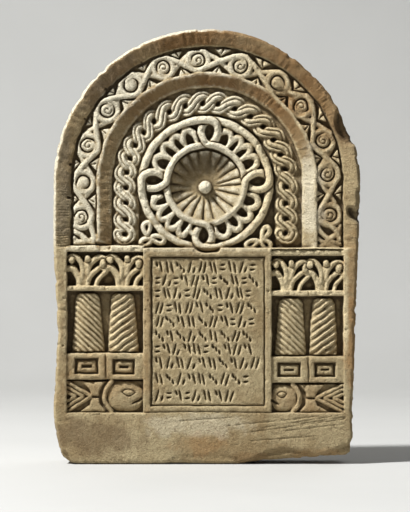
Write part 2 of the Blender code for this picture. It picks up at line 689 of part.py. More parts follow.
# The slab's outline
def slab_outline():
    """The worn outline, anticlockwise from the left end of the underside."""
    (a, b), (c, d) = FEET
    wave = UNDERSIDE_WAVE
    foot = points((a, 0), (b, 0), ((b + c) / 2, wave), (c, 0), (d, 0))
    right_end = RADIUS - SIDE_WEAR
    run = right_end - d
    rise = spline(points((d, 0), (d + 0.22 * run, CORNER_RISE * 0.42), (d + 0.5 * run, CORNER_RISE * 0.62),
                         (right_end - 0.014, CORNER_RISE)), 2)[1:]
    corner = points((right_end - 0.006, CORNER_RISE + 0.006), (right_end - 0.001, CORNER_RISE + 0.030))
    right = spline(points((right_end - 0.001, CORNER_RISE + 0.030), (right_end, SPRING * 0.24),
                          (RADIUS - 0.0095, SPRING * 0.45), (RADIUS - 0.006, SPRING * 0.66),
                          (RADIUS - 0.001, SPRING * 0.88), (RADIUS, SPRING)), 3)[1:-1]
    steps = round(math.pi / ARC_STEP)
    angle = math.pi * np.arange(steps + 1) / steps
    worn = RADIUS - 0.0048 * np.exp(-((np.degrees(angle) - 44) / 20) ** 2)
    arch = np.column_stack([worn * np.cos(angle), SPRING + worn * np.sin(angle)])
    left = spline(points((-RADIUS, SPRING), (-RADIUS, SPRING * 0.75), (LEFT_DIP - RADIUS, SPRING * 0.51),
                         (0.003 - RADIUS, SPRING * 0.30), (-RADIUS, SPRING * 0.20), (0.004 - RADIUS, SPRING * 0.11),
                         (0.016 - RADIUS, SPRING * 0.030), (0.036 - RADIUS, 0.0012)), 3)[1:]
    return np.vstack([foot, rise, corner, right, arch, left])


# Triangulation
def surface_depth(p, carving, outline):
    edge, _ = nearest(p, outline, True)
    depth = EDGE_BEVEL_DEPTH * (1 - np.clip(edge / (EDGE_BEVEL * 0.9), 0, 1))
    for form in carving:
        own = form.depth(p)
        depth = np.minimum(depth, own) if form.raised else np.maximum(depth, own)
    return depth


def visible_runs(line, shows):
    """The stretches of a line that show, each carried on to where the line passes under something."""
    seen = shows(line)
    ends = np.flatnonzero(seen[:-1] != seen[1:])
    extra = {}
    if len(ends):
        low = np.where(seen[ends, None], line[ends], line[ends + 1])
        high = np.where(seen[ends, None], line[ends + 1], line[ends])
        for _ in range(5):
            middle = (low + high) / 2
            good = shows(middle)[:, None]
            low, high = np.where(good, middle, low), np.where(good, high, middle)
        extra = dict(zip(ends, low))
    run = []
    for i, point in enumerate(line):
        if seen[i]:
            run.append(point)
        if i in extra:
            run.append(extra[i])
            if seen[i]:
                yield np.array(run)
                run = []
    if len(run) > 1:
        yield np.array(run)


def face_lines(carving, outline):
    for form in carving:
        def shows(p):
            return (np.abs(surface_depth(p, carving, outline) - form.depth(p)) < NEAR) & inside(p, outline)

        for line in form.lines():
            yield from visible_runs(line, shows)


def triangulate_face(carving, outline):
    """Vertices in the plane of the slab and triangles, with every drawn line kept as edges."""
    turned = normals(outline, True)
    bevel = outline + turned * EDGE_BEVEL
    lines = [closed_line(outline), closed_line(bevel)] + [run for run in face_lines(carving, outline) if len(run) > 1]
    placed, edges, index = [], [], {}
    for line in lines:
        ids = []
        for point in line:
            key = tuple(np.round(point / NEAR).astype(int))
            if key not in index:
                index[key] = len(placed)
                placed.append(point)
            if not ids or ids[-1] != index[key]:
                ids.append(index[key])
        edges += list(zip(ids, ids[1:]))
    vertices, _, faces, *_ = delaunay_2d_cdt([tuple(p) for p in placed], edges, [], 0, 1e-6)
    vertices = np.array([tuple(v) for v in vertices])
    faces = np.array([f for f in faces])
    centres = vertices[faces].mean(1)
    return vertices, faces[inside(centres, outline)]


def stele_mesh():
    outline = slab_outline()
    carving = [ArchSteps(), *scroll_frieze(), *guilloche(), *wreath(), *rosette(), *trefoils(), *side_panel(-1),
               *side_panel(1), *tablet(), *chips()]
    plan, faces = triangulate_face(carving, outline)
    depth = surface_depth(plan, carving, outline)
    model = bmesh.new()
    front = [model.verts.new((x, d - THICKNESS / 2, z)) for (x, z), d in zip(plan, depth)]
    for a, b, c in faces:
        model.faces.new((front[a], front[b], front[c]))
    rim = [e for e in model.edges if len(e.link_faces) == 1]
    wall = bmesh.ops.extrude_edge_only(model, edges=rim)["geom"]
    back = [v for v in wall if isinstance(v, bmesh.types.BMVert)]
    for v in back:
        v.co.y = THICKNESS / 2
    loop = [e for e in wall if isinstance(e, bmesh.types.BMEdge) and all(v in set(back) for v in e.verts)]
    bmesh.ops.contextual_create(model, geom=loop)
    bmesh.ops.delete(model, geom=[v for v in model.verts if not v.link_faces], context="VERTS")
    bmesh.ops.triangulate(model, faces=[f for f in model.faces if len(f.verts) > 4])
    bmesh.ops.recalc_face_normals(model, faces=model.faces)
    mesh = bpy.data.meshes.new("stele")
    model.to_mesh(mesh)
    model.free()
    return mesh


def limestone():
    material = bpy.data.materials.new("limestone")
    material.use_nodes = True
    shader = material.node_tree.nodes["Principled BSDF"]
    shader.inputs["Base Color"].default_value = STONE
    shader.inputs["Roughness"].default_value = 0.9
    shader.inputs["Metallic"].default_value = 0.0
    return material


def main():
    for old in list(bpy.data.objects):
        bpy.data.objects.remove(old)
    stele = bpy.data.objects.new("stele", stele_mesh())
    stele.data.materials.append(limestone())
    bpy.context.scene.collection.objects.link(stele)


main()
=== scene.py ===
"""Looks of the carved limestone stele: the relief as the photo shows it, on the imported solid's form.

The face is a height field: every motif is drawn on a fine grid as a depth below the front plane, then
worn, chipped and given its tool marks. The sides and the back are dressed more plainly.
"""
import math

import bpy
import numpy as np
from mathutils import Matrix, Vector
from mathutils.geometry import delaunay_2d_cdt


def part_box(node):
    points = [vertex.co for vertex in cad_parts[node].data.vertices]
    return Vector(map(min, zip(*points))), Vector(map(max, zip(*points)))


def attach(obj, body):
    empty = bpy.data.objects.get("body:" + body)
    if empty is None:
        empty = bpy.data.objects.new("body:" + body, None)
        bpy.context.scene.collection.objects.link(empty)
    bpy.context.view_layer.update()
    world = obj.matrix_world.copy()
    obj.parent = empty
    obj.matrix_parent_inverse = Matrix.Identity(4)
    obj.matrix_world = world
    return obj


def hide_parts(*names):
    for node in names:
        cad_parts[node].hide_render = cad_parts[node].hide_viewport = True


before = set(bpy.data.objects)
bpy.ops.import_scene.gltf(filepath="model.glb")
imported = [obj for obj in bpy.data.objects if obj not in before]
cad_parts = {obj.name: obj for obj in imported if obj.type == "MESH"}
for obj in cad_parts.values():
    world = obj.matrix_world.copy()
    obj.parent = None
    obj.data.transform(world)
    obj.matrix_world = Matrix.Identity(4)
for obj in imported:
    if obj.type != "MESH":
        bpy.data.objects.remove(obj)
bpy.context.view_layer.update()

LOW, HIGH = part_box("stele")
_, THICKNESS, HEIGHT = (high - low for low, high in zip(LOW, HIGH))

# The photo: metres to a pixel, and where the slab's middle and foot are in it
PIXEL = HEIGHT / 435.7
MIDDLE_PX = 207.0
FOOT_PX = 464.4

CELL = 0.0009
FACE_TRIANGLES = 150_000
OUTLINE_STEP = 0.0022
WALL_RINGS = 26
BACK_CELL = 0.0062

# The slab, as in the solid
RADIUS = 0.283
SPRING = 0.520
FEET = ((-0.207, -0.115), (0.012, 0.057))
UNDERSIDE_WAVE = 0.0022
CORNER_RISE = 0.017
SIDE_WEAR = 0.013
LEFT_DIP = 0.0062
EDGE_ROUND = 0.0052

# Levels and widths that the carving follows
ARCH_FOOT = 0.3983
LEG = SPRING - ARCH_FOOT
FRIEZE_OUT = 0.2525
FRIEZE_IN = 0.2035
FRIEZE_MID = 0.228
BAND_OUT = 0.198
FIELD_RADIUS = 0.1765

# Depths below the front plane
RIM_DEPTH = 0.0080
FRIEZE_FLOOR = 0.019
FRIEZE_TOP = 0.0095
FILLET_DEPTH = 0.0075
INNER_BAND_DEPTH = 0.017
FIELD_FLOOR = 0.031
GUILLOCHE_TOP = 0.0155
STRAND_TOP = 0.0125
WAVE_TOP = 0.0150
NICHE_FLOOR = 0.022
BLOCK_TOP = 0.003
LEAF_TOP = 0.005
FISH_TOP = 0.0045
TABLET_DEPTH = 0.0035

NOISE = np.random.default_rng(11).uniform(-1, 1, (64, 64, 64))


# Numbers that vary smoothly in space
def smooth(t):
    t = np.clip(t, 0, 1)
    return t * t * (3 - 2 * t)


def noise(x, y, z, size, shift=0.0):
    """Value noise between -1 and 1 whose bumps are about this size in metres."""
    x, y, z = np.broadcast_arrays(np.asarray(x) / size + shift, np.asarray(y) / size - shift,
                                  np.asarray(z) / size + 2 * shift)
    total = 0.0
    cell = [np.floor(a).astype(int) for a in (x, y, z)]
    part = [smooth(a - c) for a, c in zip((x, y, z), cell)]
    for dx in (0, 1):
        for dy in (0, 1):
            for dz in (0, 1):
                weight = ((part[0] if dx else 1 - part[0]) * (part[1] if dy else 1 - part[1])
                          * (part[2] if dz else 1 - part[2]))
                corner = NOISE[(cell[0] + dx) % 64, (cell[1] + dy) % 64, (cell[2] + dz) % 64]
                total = total + weight * corner
    return total


def fractal(x, y, z, size, octaves=3, shift=0.0):
    """Value noise in layers, each half the size and half the height of the one before."""
    layers = (noise(x, y, z, size / 2**i, shift + 7.3 * i) / 2**i for i in range(octaves))
    return sum(layers) / (2 - 0.5 ** (octaves - 1))


def blur(field, sigma):
    """A Gaussian blur of a grid, with sigma in cells."""
    reach = max(1, int(3 * sigma))
    kernel = np.exp(-0.5 * (np.arange(-reach, reach + 1) / sigma) ** 2)
    kernel /= kernel.sum()
    for axis in (0, 1):
        padded = np.pad(field, [(reach, reach) if a == axis else (0, 0) for a in (0, 1)], mode="edge")
        count = field.shape[axis]
        field = sum(share * (padded[i:i + count] if axis == 0 else padded[:, i:i + count])
                    for i, share in enumerate(kernel))
    return field


# Curves
def px(*pairs):
    """Points given in pixels of the photo, as x and z on the slab."""
    p = np.array(pairs, float)
    return np.column_stack([(p[:, 0] - MIDDLE_PX) * PIXEL, (FOOT_PX - p[:, 1]) * PIXEL])


def spline(through, steps, closed=False):
    """A Catmull-Rom curve through the given points, with this many steps to a span."""
    p = np.asarray(through, float)
    before, after = (p[-1], p[:2]) if closed else (2 * p[0] - p[1], [2 * p[-1] - p[-2]])
    p = np.vstack([[before], p, after])
    curve = []
    for a, b, c, d in zip(p, p[1:], p[2:], p[3:]):
        for t in np.arange(steps) / steps:
            curve.append(0.5 * (2 * b + (c - a) * t + (2 * a - 5 * b + 4 * c - d) * t**2
                                + (3 * b - a - 3 * c + d) * t**3))
    return np.array(curve if closed else curve + [p[-2]])


def ellipse(centre, radii, first=0.0, last=360.0, steps=40):
    angle = np.radians(np.linspace(first, last, steps + 1))
    return np.array(centre) + np.column_stack([radii[0] * np.cos(angle), radii[1] * np.sin(angle)])


def along_arch(length, radius, measured_on):
    """Points at these lengths and radii along the arch: up its left leg, round it, and down its right leg.

    Round the arch, the lengths are those on the radius measured_on."""
    length, radius = np.broadcast_arrays(np.asarray(length, float), np.asarray(radius, float))
    turn = math.pi * measured_on
    angle = math.pi * (1 - np.clip((length - LEG) / turn, 0, 1))
    below = np.maximum(np.maximum(LEG - length, length - LEG - turn), 0)
    return np.column_stack([radius * np.cos(angle), SPRING + radius * np.sin(angle) - below])


def slab_outline():
    (a, b), (c, d) = FEET
    foot = np.array([(a, 0), (b, 0), ((b + c) / 2, UNDERSIDE_WAVE), (c, 0), (d, 0)])
    right_end = RADIUS - SIDE_WEAR
    rise = spline([(d, 0), (d + 0.22 * (right_end - d), CORNER_RISE * 0.42),
                   (d + 0.5 * (right_end - d), CORNER_RISE * 0.62), (right_end - 0.014, CORNER_RISE)], 2)[1:]
    corner = np.array([(right_end - 0.006, CORNER_RISE + 0.006), (right_end - 0.001, CORNER_RISE + 0.030)])
    right = spline([(right_end - 0.001, CORNER_RISE + 0.030), (right_end, SPRING * 0.24),
                    (RADIUS - 0.0095, SPRING * 0.45), (RADIUS - 0.006, SPRING * 0.66),
                    (RADIUS - 0.001, SPRING * 0.88), (RADIUS, SPRING)], 6)[1:-1]
    angle = np.linspace(0, math.pi, 121)
    degrees = np.degrees(angle)
    worn = RADIUS - 0.0048 * np.exp(-((degrees - 44) / 20) ** 2)
    worn = worn - 0.0058 * np.exp(-((degrees - 22) / 5.5) ** 2)
    arch = np.column_stack([worn * np.cos(angle), SPRING + worn * np.sin(angle)])
    left = spline([(-RADIUS, SPRING), (-RADIUS, SPRING * 0.75), (LEFT_DIP - RADIUS, SPRING * 0.51),
                   (0.003 - RADIUS, SPRING * 0.30), (-RADIUS, SPRING * 0.20), (0.004 - RADIUS, SPRING * 0.11),
                   (0.016 - RADIUS, SPRING * 0.030), (0.036 - RADIUS, 0.0012)], 6)[1:]
    return np.vstack([foot, rise, corner, right, arch, left])


def resampled(outline, step):
    """A closed outline with evenly spaced points."""
    ring = np.vstack([outline, outline[:1]])
    length = np.concatenate([[0], np.cumsum(np.linalg.norm(np.diff(ring, axis=0), axis=1))])
    at = np.linspace(0, length[-1], int(length[-1] / step), endpoint=False)
    return np.column_stack([np.interp(at, length, ring[:, i]) for i in (0, 1)])


def inside(x, z, outline):
    odd = np.zeros(np.broadcast(x, z).shape, bool)
    for (x0, z0), (x1, z1) in zip(outline, np.roll(outline, -1, 0)):
        if z0 == z1:
            continue
        odd ^= ((z0 > z) != (z1 > z)) & (x < (x1 - x0) * (z - z0) / (z1 - z0) + x0)
    return odd


# Sections of a ridge: the rise for each share of the half width
def tube(t):
    """Rounded on top, with steep sides."""
    return np.where(t < 0.84, 1 - 0.28 * t**2, 0.8024 * np.clip((1 - t) / 0.16, 0, 1))


def threefold(t):
    """Three thin ridges side by side."""
    return tube(t) * (1 - 0.62 * np.exp(-(((t - 0.40) / 0.12) ** 2)))


def cut(t):
    return np.clip(1 - t, 0, 1) ** 0.8


class Relief:
    """The slab's face as a depth for each cell of a grid."""

    def __init__(self):
        self.x = np.arange(-RADIUS - 2 * CELL, RADIUS + 2 * CELL, CELL)
        self.z = np.arange(-2 * CELL, HEIGHT + 2 * CELL, CELL)
        self.depth = np.zeros((len(self.z), len(self.x)))

    def window(self, low, high):
        i0, i1 = np.searchsorted(self.x, (low[0], high[0]))
        j0, j1 = np.searchsorted(self.z, (low[1], high[1]))
        return (slice(j0, j1), slice(i0, i1)), self.x[None, i0:i1], self.z[j0:j1, None]

    def near(self, path, x, z, closed):
        """Each cell's distance to a path, and how far along the path its nearest place is, in points."""
        start = path if closed else path[:-1]
        end = np.roll(path, -1, 0) if closed else path[1:]
        best = np.full(np.broadcast(x, z).shape, np.inf)
        place = np.zeros_like(best)
        for i, ((ax, az), (bx, bz)) in enumerate(zip(start, end)):
            dx, dz = bx - ax, bz - az
            share = np.clip(((x - ax) * dx + (z - az) * dz) / max(dx * dx + dz * dz, 1e-18), 0, 1)
            distance = np.hypot(x - ax - share * dx, z - az - share * dz)
            closer = distance < best
            best = np.where(closer, distance, best)
            place = np.where(closer, i + share, place)
        return best, place

    def strip(self, path, half, top, foot, section, closed=False):
        """A ridge along a path, or a groove where its top is deeper than its foot."""
        path = np.asarray(path, float)
        half = np.broadcast_to(np.asarray(half, float), len(path))
        top = np.broadcast_to(np.asarray(top, float), len(path))
        reach = half.max() + CELL
        where, x, z = self.window(path.min(0) - reach, path.max(0) + reach)
        if self.depth[where].size == 0:
            return
        distance, place = self.near(path, x, z, closed)
        count = np.arange(len(path) + closed)
        share = distance / np.maximum(np.interp(place, count, half[count % len(path)]), 1e-6)
        level = np.interp(place, count, top[count % len(path)])
        found = foot + (level - foot) * section(share)
        here = self.depth[where]
        pick = np.minimum if level.min() < foot else np.maximum
        self.depth[where] = np.where(share < 1, pick(here, found), here)

    def patch(self, outline, top, foot, round_off=0.0016, raised=True):
        """An area at one depth, or at one worked out from x, z and the distance to its edge."""
        outline = np.asarray(outline, float)
        where, x, z = self.window(outline.min(0) - CELL, outline.max(0) + CELL)
        if self.depth[where].size == 0:
            return
        distance, _ = self.near(outline, x, z, True)
        level = top(x, z, distance) if callable(top) else top
        found = foot + (level - foot) * smooth(distance / round_off)
        here = self.depth[where]
        pick = np.minimum if raised else np.maximum
        self.depth[where] = np.where(inside(x, z, outline), pick(here, found), here)

    def scoop(self, outline, depth, soft):
        """Takes a soft-edged scoop out of whatever is there."""
        outline = np.asarray(outline, float)
        where, x, z = self.window(outline.min(0), outline.max(0))
        distance, _ = self.near(outline, x, z, True)
        self.depth[where] += np.where(inside(x, z, outline), depth * smooth(distance / soft), 0)

    def pit(self, centre, radius, depth):
        where, x, z = self.window(np.subtract(centre, radius), np.add(centre, radius))
        share = np.hypot(x - centre[0], z - centre[1]) / radius
        self.depth[where] += depth * smooth(1 - share)


relief = Relief()
GRID_X, GRID_Z = relief.x[None, :], relief.z[:, None]
# Each cell's radius in the arch, and its place along the arch from the left foot
ARCH_R = np.hypot(GRID_X, np.maximum(GRID_Z - SPRING, 0))
UP_LEFT = GRID_Z - ARCH_FOOT
ROUND_TOP = LEG + FRIEZE_MID * (math.pi - np.arctan2(np.maximum(GRID_Z - SPRING, 1e-9), GRID_X))
DOWN_RIGHT = LEG * 2 + FRIEZE_MID * math.pi + ARCH_FOOT - GRID_Z
ARCH_S = np.where(GRID_Z > SPRING, ROUND_TOP, np.where(GRID_X < 0, UP_LEFT, DOWN_RIGHT))


def in_band(low, high):
    """1 between two radii of the arch, and 0 beside them."""
    return smooth((ARCH_R - low) / 0.002) * smooth((high - ARCH_R) / 0.002)


# The arch
def arch_bands():
    wall = 0.0016
    section = (
        (0.0, FIELD_FLOOR), (FIELD_RADIUS - wall, FIELD_FLOOR), (FIELD_RADIUS, INNER_BAND_DEPTH),
        (BAND_OUT - 0.0015, FILLET_DEPTH + 0.0012), (BAND_OUT + 0.001, FILLET_DEPTH),
        (FRIEZE_IN, FILLET_DEPTH), (FRIEZE_IN + wall, FRIEZE_FLOOR),
        (FRIEZE_OUT - wall, FRIEZE_FLOOR), (FRIEZE_OUT, RIM_DEPTH), (RADIUS - 0.006, 0.0008), (RADIUS, 0.0),
    )
    depth = np.interp(ARCH_R, *zip(*section))
    above = smooth((GRID_Z - ARCH_FOOT) / 0.002)
    relief.depth = np.maximum(relief.depth, depth * above)


# Places along the frieze and away from its inner edge, in pixels of the photo
CURLS_PX = (
    (33, 126), (68, 124), (105, 125), (145, 123.5), (180, 124), (217, 123), (253, 123), (297, 121.5),
    (338, 122.5), (372, 122), (414, 123.5), (448, 121.5), (489, 123),
)
STRIP_SHIFT_PX = 1.7  # how far before the arch's foot these lengths begin
RING_PX = 10.6  # from a curl's middle to the middle of the ring round it
RIBBON_HALF_PX = 3.1
BUTTON_PX = 6.9
PLAIN_BUTTONS = (1, 4, 8)
CROSSING_TURN = 56  # degrees on each ring from its far side to where the stem leaves it


def on_band(s, r, measured_on):
    """A place on a band of the arch, from its length and radius in pixels."""
    length = (np.asarray(s, float) - STRIP_SHIFT_PX) * PIXEL
    return along_arch(length, np.asarray(r, float) * PIXEL, measured_on)


def on_frieze(s, r):
    return on_band(s, r, FRIEZE_MID)


def ribbon(s, r, half=RIBBON_HALF_PX, lower=0.0, closed=False):
    relief.strip(on_frieze(s, r), half * PIXEL, FRIEZE_TOP + lower, FRIEZE_FLOOR, tube, closed)


def curl(i, s, r, way):
    """A ring, the ribbon that winds in from it, and the button at its inner end."""
    angle = np.radians(np.arange(0, 360, 10))
    ribbon(s + RING_PX * np.cos(angle), r + RING_PX * np.sin(angle), closed=True)
    turn = np.linspace(0, 1, 16)
    first = 40 + 71 * i
    angle = np.radians(first + 150 * turn)
    reach = RING_PX - (RING_PX - 5.0) * turn
    ribbon(s + reach * np.cos(angle), r + way * reach * np.sin(angle), 1.9, 0.0004)
    button = on_frieze(*(ellipse((s, r), (BUTTON_PX, BUTTON_PX), steps=20)[:-1].T))
    relief.patch(button, lambda x, z, distance: FRIEZE_TOP + 0.0014 * (1 - smooth(distance / 0.009)),
                 FRIEZE_FLOOR, 0.0014)
    if i not in PLAIN_BUTTONS:
        angle = np.radians(first + 150 + 330 * turn)
        reach = 4.6 - 3.4 * turn
        path = on_frieze(s + reach * np.cos(angle), r + way * reach * np.sin(angle))
        relief.strip(path, 0.0016, FRIEZE_TOP + 0.0046, FRIEZE_TOP, cut)


FOOT_LEAVES_PX = (
    ((70, 246), (80, 241), (92, 243)),
    ((73, 238), (84, 246), (99, 247)),
    ((73.5, 231), (80, 234.5), (87, 241)),
    ((76, 245), (87, 242), (97, 235)),
    ((322, 247), (330, 242), (341, 244)),
    ((318, 238), (326, 245), (338, 248)),
    ((340, 233), (333, 237), (326, 243)),
    ((317.5, 223), (321, 232), (330, 241)),
    ((341, 226), (338, 233), (332, 239)),
    ((315, 246.5), (324, 245.5), (335, 243)),
)


def scroll_frieze():
    """A vine whose stem bends round each curl in turn, with leaflets between and leaves at its feet."""
    ways = [1 if i % 2 == 0 else -1 for i in range(len(CURLS_PX))]
    stem = [(3.0, 114.5), (12.0, 113.5)]
    for (s, r), way in zip(CURLS_PX, ways):
        for degrees in (236, 259, 281, 304):
            a = math.radians(degrees)
            stem.append((s + RING_PX * math.cos(a), r + way * RING_PX * math.sin(a)))
    stem += [(503.0, 128.0), (513.0, 133.0)]
    for (s0, r0), (s1, r1), way in zip(CURLS_PX, CURLS_PX[1:], ways):
        a = math.radians(CROSSING_TURN)
        crossing, middle = (s0 + s1) / 2, (r0 + r1) / 2
        back = spline([(s0 + RING_PX * math.cos(a), r0 + way * RING_PX * math.sin(a)), (crossing, middle),
                       (s1 - RING_PX * math.cos(a), r1 - way * RING_PX * math.sin(a))], 5)
        ribbon(back[:, 0], back[:, 1], 2.8, 0.0014)
        for edge in (1, -1):
            lean = way * edge
            leaflet = on_frieze([crossing + lean * x for x in (0.4, 11.2, -7.0, -1.9)],
                                [middle + edge * y for y in (4.4, 13.8, 13.8, 7.6)])
            relief.patch(leaflet, FRIEZE_TOP + 0.0012, FRIEZE_FLOOR, 0.0018)
            reach, wide = (13.6, 0.0030) if edge > 0 else (11.2, 0.0016)
            vein = on_frieze([crossing + lean * x for x in (2.2, 1.6, 0.2)],
                             [middle + edge * y for y in (reach, 10.0, 6.6)])
            relief.strip(vein, (wide, 0.0022, 0.0012), FRIEZE_FLOOR - 0.0015, FRIEZE_TOP, cut)
    for i, ((s, r), way) in enumerate(zip(CURLS_PX, ways)):
        curl(i, s, r, way)
    line = spline(np.array(stem), 4)
    ribbon(line[:, 0], line[:, 1], 3.1, -0.0007)
    for leaf in FOOT_LEAVES_PX:
        relief.strip(spline(px(*leaf), 4), 0.0050, FRIEZE_TOP + 0.0006, FRIEZE_FLOOR, tube)
    # the groove along the rim, which is wider on the left
    wide = 0.0019 + 0.0016 * smooth((0.08 - GRID_X) / 0.12)
    edge = FRIEZE_OUT - wide + 0.0010 * noise(GRID_X, 24, GRID_Z, 0.014)
    channel = smooth(1.4 - np.abs(ARCH_R - edge) / wide) * smooth((GRID_Z - ARCH_FOOT) / 0.002)
    relief.depth = np.maximum(relief.depth, FRIEZE_FLOOR * channel)


# Drilled eyes between the strands, in pixels along the band
EYES_PX = (16, 31, 47.5, 63, 78, 93, 107, 122, 138, 156, 174, 191, 207, 225, 243, 260, 277, 294, 309, 328,
           345, 360, 374)
EYES_MEASURED_AT_PX = 81.5
TWIST_MIDS_PX = ((0, 83.0), (90, 82.4), (180, 80.8), (380, 79.8))  # its middle line's radius along the band
TWIST_SWING_PX = 6.2
TWIST_HALF_PX = 5.8
TWIST_BASE = 0.0235
TWIST_BASE_IN_PX = 67.5


def on_guilloche(s, r):
    return on_band(s, r, EYES_MEASURED_AT_PX * PIXEL)


def twist_middle(s):
    return np.interp(s, *zip(*TWIST_MIDS_PX))


def guilloche():
    """Two strands twisted together around drilled eyes, each with a groove along it, on a stepped base."""
    base = smooth((ARCH_R - TWIST_BASE_IN_PX * PIXEL) / 0.003) * smooth((FIELD_RADIUS - ARCH_R) / 0.001)
    base = base * smooth((GRID_Z - ARCH_FOOT) / 0.002)
    step = np.minimum(relief.depth, FIELD_FLOOR + (TWIST_BASE - FIELD_FLOOR) * base)
    relief.depth = np.where(base > 0, step, relief.depth)
    eyes = np.array(EYES_PX, float)
    # each eye has a piece of strand that rises over it and dives under the pieces beside it
    for i in range(-1, len(eyes)):
        here = eyes[i] if i >= 0 else eyes[0] - 16
        ahead = eyes[i + 1] if i + 1 < len(eyes) else eyes[-1] + 14
        phase = np.linspace(-0.5, 1.5, 24)
        s = here + phase * (ahead - here)
        keep = (s > eyes[0] - 6) & (s < eyes[-1] + 6)
        phase, s = phase[keep], s[keep]
        if len(s) < 2:
            continue
        r = twist_middle(s) - TWIST_SWING_PX * np.cos(math.pi * phase)
        top = GUILLOCHE_TOP + 0.0080 * smooth((2 * np.abs(phase - 0.5) - 0.85) / 1.1)
        relief.strip(on_guilloche(s, r), TWIST_HALF_PX * PIXEL, top, TWIST_BASE, threefold)
    for end, facing in ((eyes[0], -1), (eyes[-1], 1)):
        angle = np.radians(np.linspace(-90, 90, 12))
        turn = on_guilloche(end + facing * 6.0 * np.cos(angle),
                            twist_middle(end) + TWIST_SWING_PX * np.sin(angle))
        relief.strip(turn, TWIST_HALF_PX * PIXEL, GUILLOCHE_TOP, TWIST_BASE, threefold)
    for eye in eyes:
        hole = on_guilloche(eye, twist_middle(eye) - 0.5)[0]
        relief.pit(hole, 0.0078, 0.0150)


# The wreath
WREATH_PX = (205.5, 183.5)
OUTER_RING_PX, INNER_RING_PX = 64.3, 39.4
KNOTS = (176.0, 85.5, 3.0, -92.0)  # degrees round the wreath
# The wavy strand between the rings, in the four parts between the knots: the angle and radius of its turns
WAVES_PX = (
    ((163, 46), (154, 57), (145, 46), (137, 57.5), (131, 46), (124, 57.5), (117.5, 46), (110.5, 57.5),
     (102, 46)),
    ((76, 46), (66, 57.5), (59, 45), (53, 57.5), (47, 45), (39.5, 57.5), (34, 45), (26, 57.5), (17, 45)),
    ((-13, 47), (-21, 56.5), (-30, 45.5), (-38, 56.5), (-46, 45.5), (-53, 56.5), (-61, 45.5), (-70, 56.5),
     (-78, 47)),
    ((-102, 52), (-110, 45), (-116, 57.5), (-123, 45), (-130, 57.5), (-137, 45), (-143, 57.5), (-151, 45),
     (-157, 57), (-165, 48)),
)
WAVE_HALVES_PX = (2.5, 3.8)  # at its inner turns and at its outer
WAVE_WALL_HALF_PX = 2.7


def on_wreath(degrees, r):
    centre = px(WREATH_PX)[0]
    angle = np.radians(degrees)
    reach = np.asarray(r, float) * PIXEL
    return centre + np.column_stack([np.cos(angle), np.sin(angle)]) * reach[:, None]


def wreath_link(start, end):
    """One loop, clockwise along the outer ring to its second knot and back along the inner ring."""
    middle, half_gap = (OUTER_RING_PX + INNER_RING_PX) / 2, (OUTER_RING_PX - INNER_RING_PX) / 2
    overlap, bulge = math.degrees(8.4 / middle), math.degrees(10.0 / middle)
    first, last = start - (bulge - overlap), end + (bulge - overlap)
    arc = np.linspace(0, 1, 40)
    turn = np.radians(np.linspace(90, -90, 16)[1:-1])
    angles = np.concatenate([first + (last - first) * arc, last - np.cos(turn) * bulge,
                             last + (first - last) * arc, first + np.cos(turn) * bulge])
    radii = np.concatenate([np.full(40, OUTER_RING_PX), middle + half_gap * np.sin(turn),
                            np.full(40, INNER_RING_PX), middle - half_gap * np.sin(turn)])
    tilt = smooth((arc - 0.8) / 0.2) - smooth((0.2 - arc) / 0.2)
    over = np.concatenate([tilt, np.sin(turn), tilt, np.sin(turn)])
    outwards = (radii - INNER_RING_PX) / (OUTER_RING_PX - INNER_RING_PX)
    half = (3.7 + 0.6 * outwards) * PIXEL
    return on_wreath(angles, radii), half, STRAND_TOP - 0.0030 * over, over


def moat(t):
    return smooth((1 - t) / 0.15)


def tie(line, half, top, over):
    """Draws the parts of a loop that pass over others once more, with a dark line cut round them."""
    passes = over > 0.3
    first = np.flatnonzero(passes & ~np.roll(passes, 1))
    for begin in first:
        length = int(np.argmin(np.roll(passes, -begin)))
        run = np.arange(begin, begin + length) % len(line)
        longer = np.arange(begin - 3, begin + length + 3) % len(line)
        relief.strip(line[run], half[run] * 1.28, STRAND_TOP + 0.0085, 0.0, moat)
        relief.strip(line[longer], half[longer], top[longer], FIELD_FLOOR, tube)


def arcade(wave):
    """A line through low and high places that rises fast and turns over roundly, as small arches do."""
    line = []
    for (a0, r0), (a1, r1) in zip(wave, wave[1:]):
        share = np.arange(7) / 7
        rise = np.sin(share * math.pi / 2) ** 0.5 if r1 > r0 else 1 - np.sin((1 - share) * math.pi / 2) ** 0.5
        line.append(np.column_stack([a0 + (a1 - a0) * share, r0 + (r1 - r0) * rise]))
    return np.vstack(line + [[wave[-1]]])


def wreath():
    """The wavy strand with a short wall at each of its low places, then the four loops and their ties."""
    for wave in WAVES_PX:
        line = arcade(wave)
        outwards = smooth((line[:, 1] - 45) / 12)
        half = (WAVE_HALVES_PX[0] + (WAVE_HALVES_PX[1] - WAVE_HALVES_PX[0]) * outwards) * PIXEL
        relief.strip(on_wreath(line[:, 0], line[:, 1]), half, WAVE_TOP, FIELD_FLOOR, tube)
        for degrees, r in wave:
            if r < 50:
                wall = on_wreath([degrees, degrees], [r - 2, r + 6.5])
                relief.strip(wall, WAVE_WALL_HALF_PX * PIXEL, WAVE_TOP + 0.0010, FIELD_FLOOR, tube)
    links = [wreath_link(start, end if end < start else end - 360)
             for start, end in zip(KNOTS, KNOTS[1:] + KNOTS[:1])]
    for line, half, top, _ in links:
        relief.strip(line, half, top, FIELD_FLOOR, tube, closed=True)
    for link in links:
        tie(*link)


# The rosette
ROSETTE_PX = (205.1, 186.8)
ROSETTE_RADIUS_PX = 37.4
PETAL_GROOVES = (190, 174, 154, 135, 118, 101, 81, 62, 49, 33, 16, 5, -13, -35, -52, -74, -93, -114, -133,
                 -150)
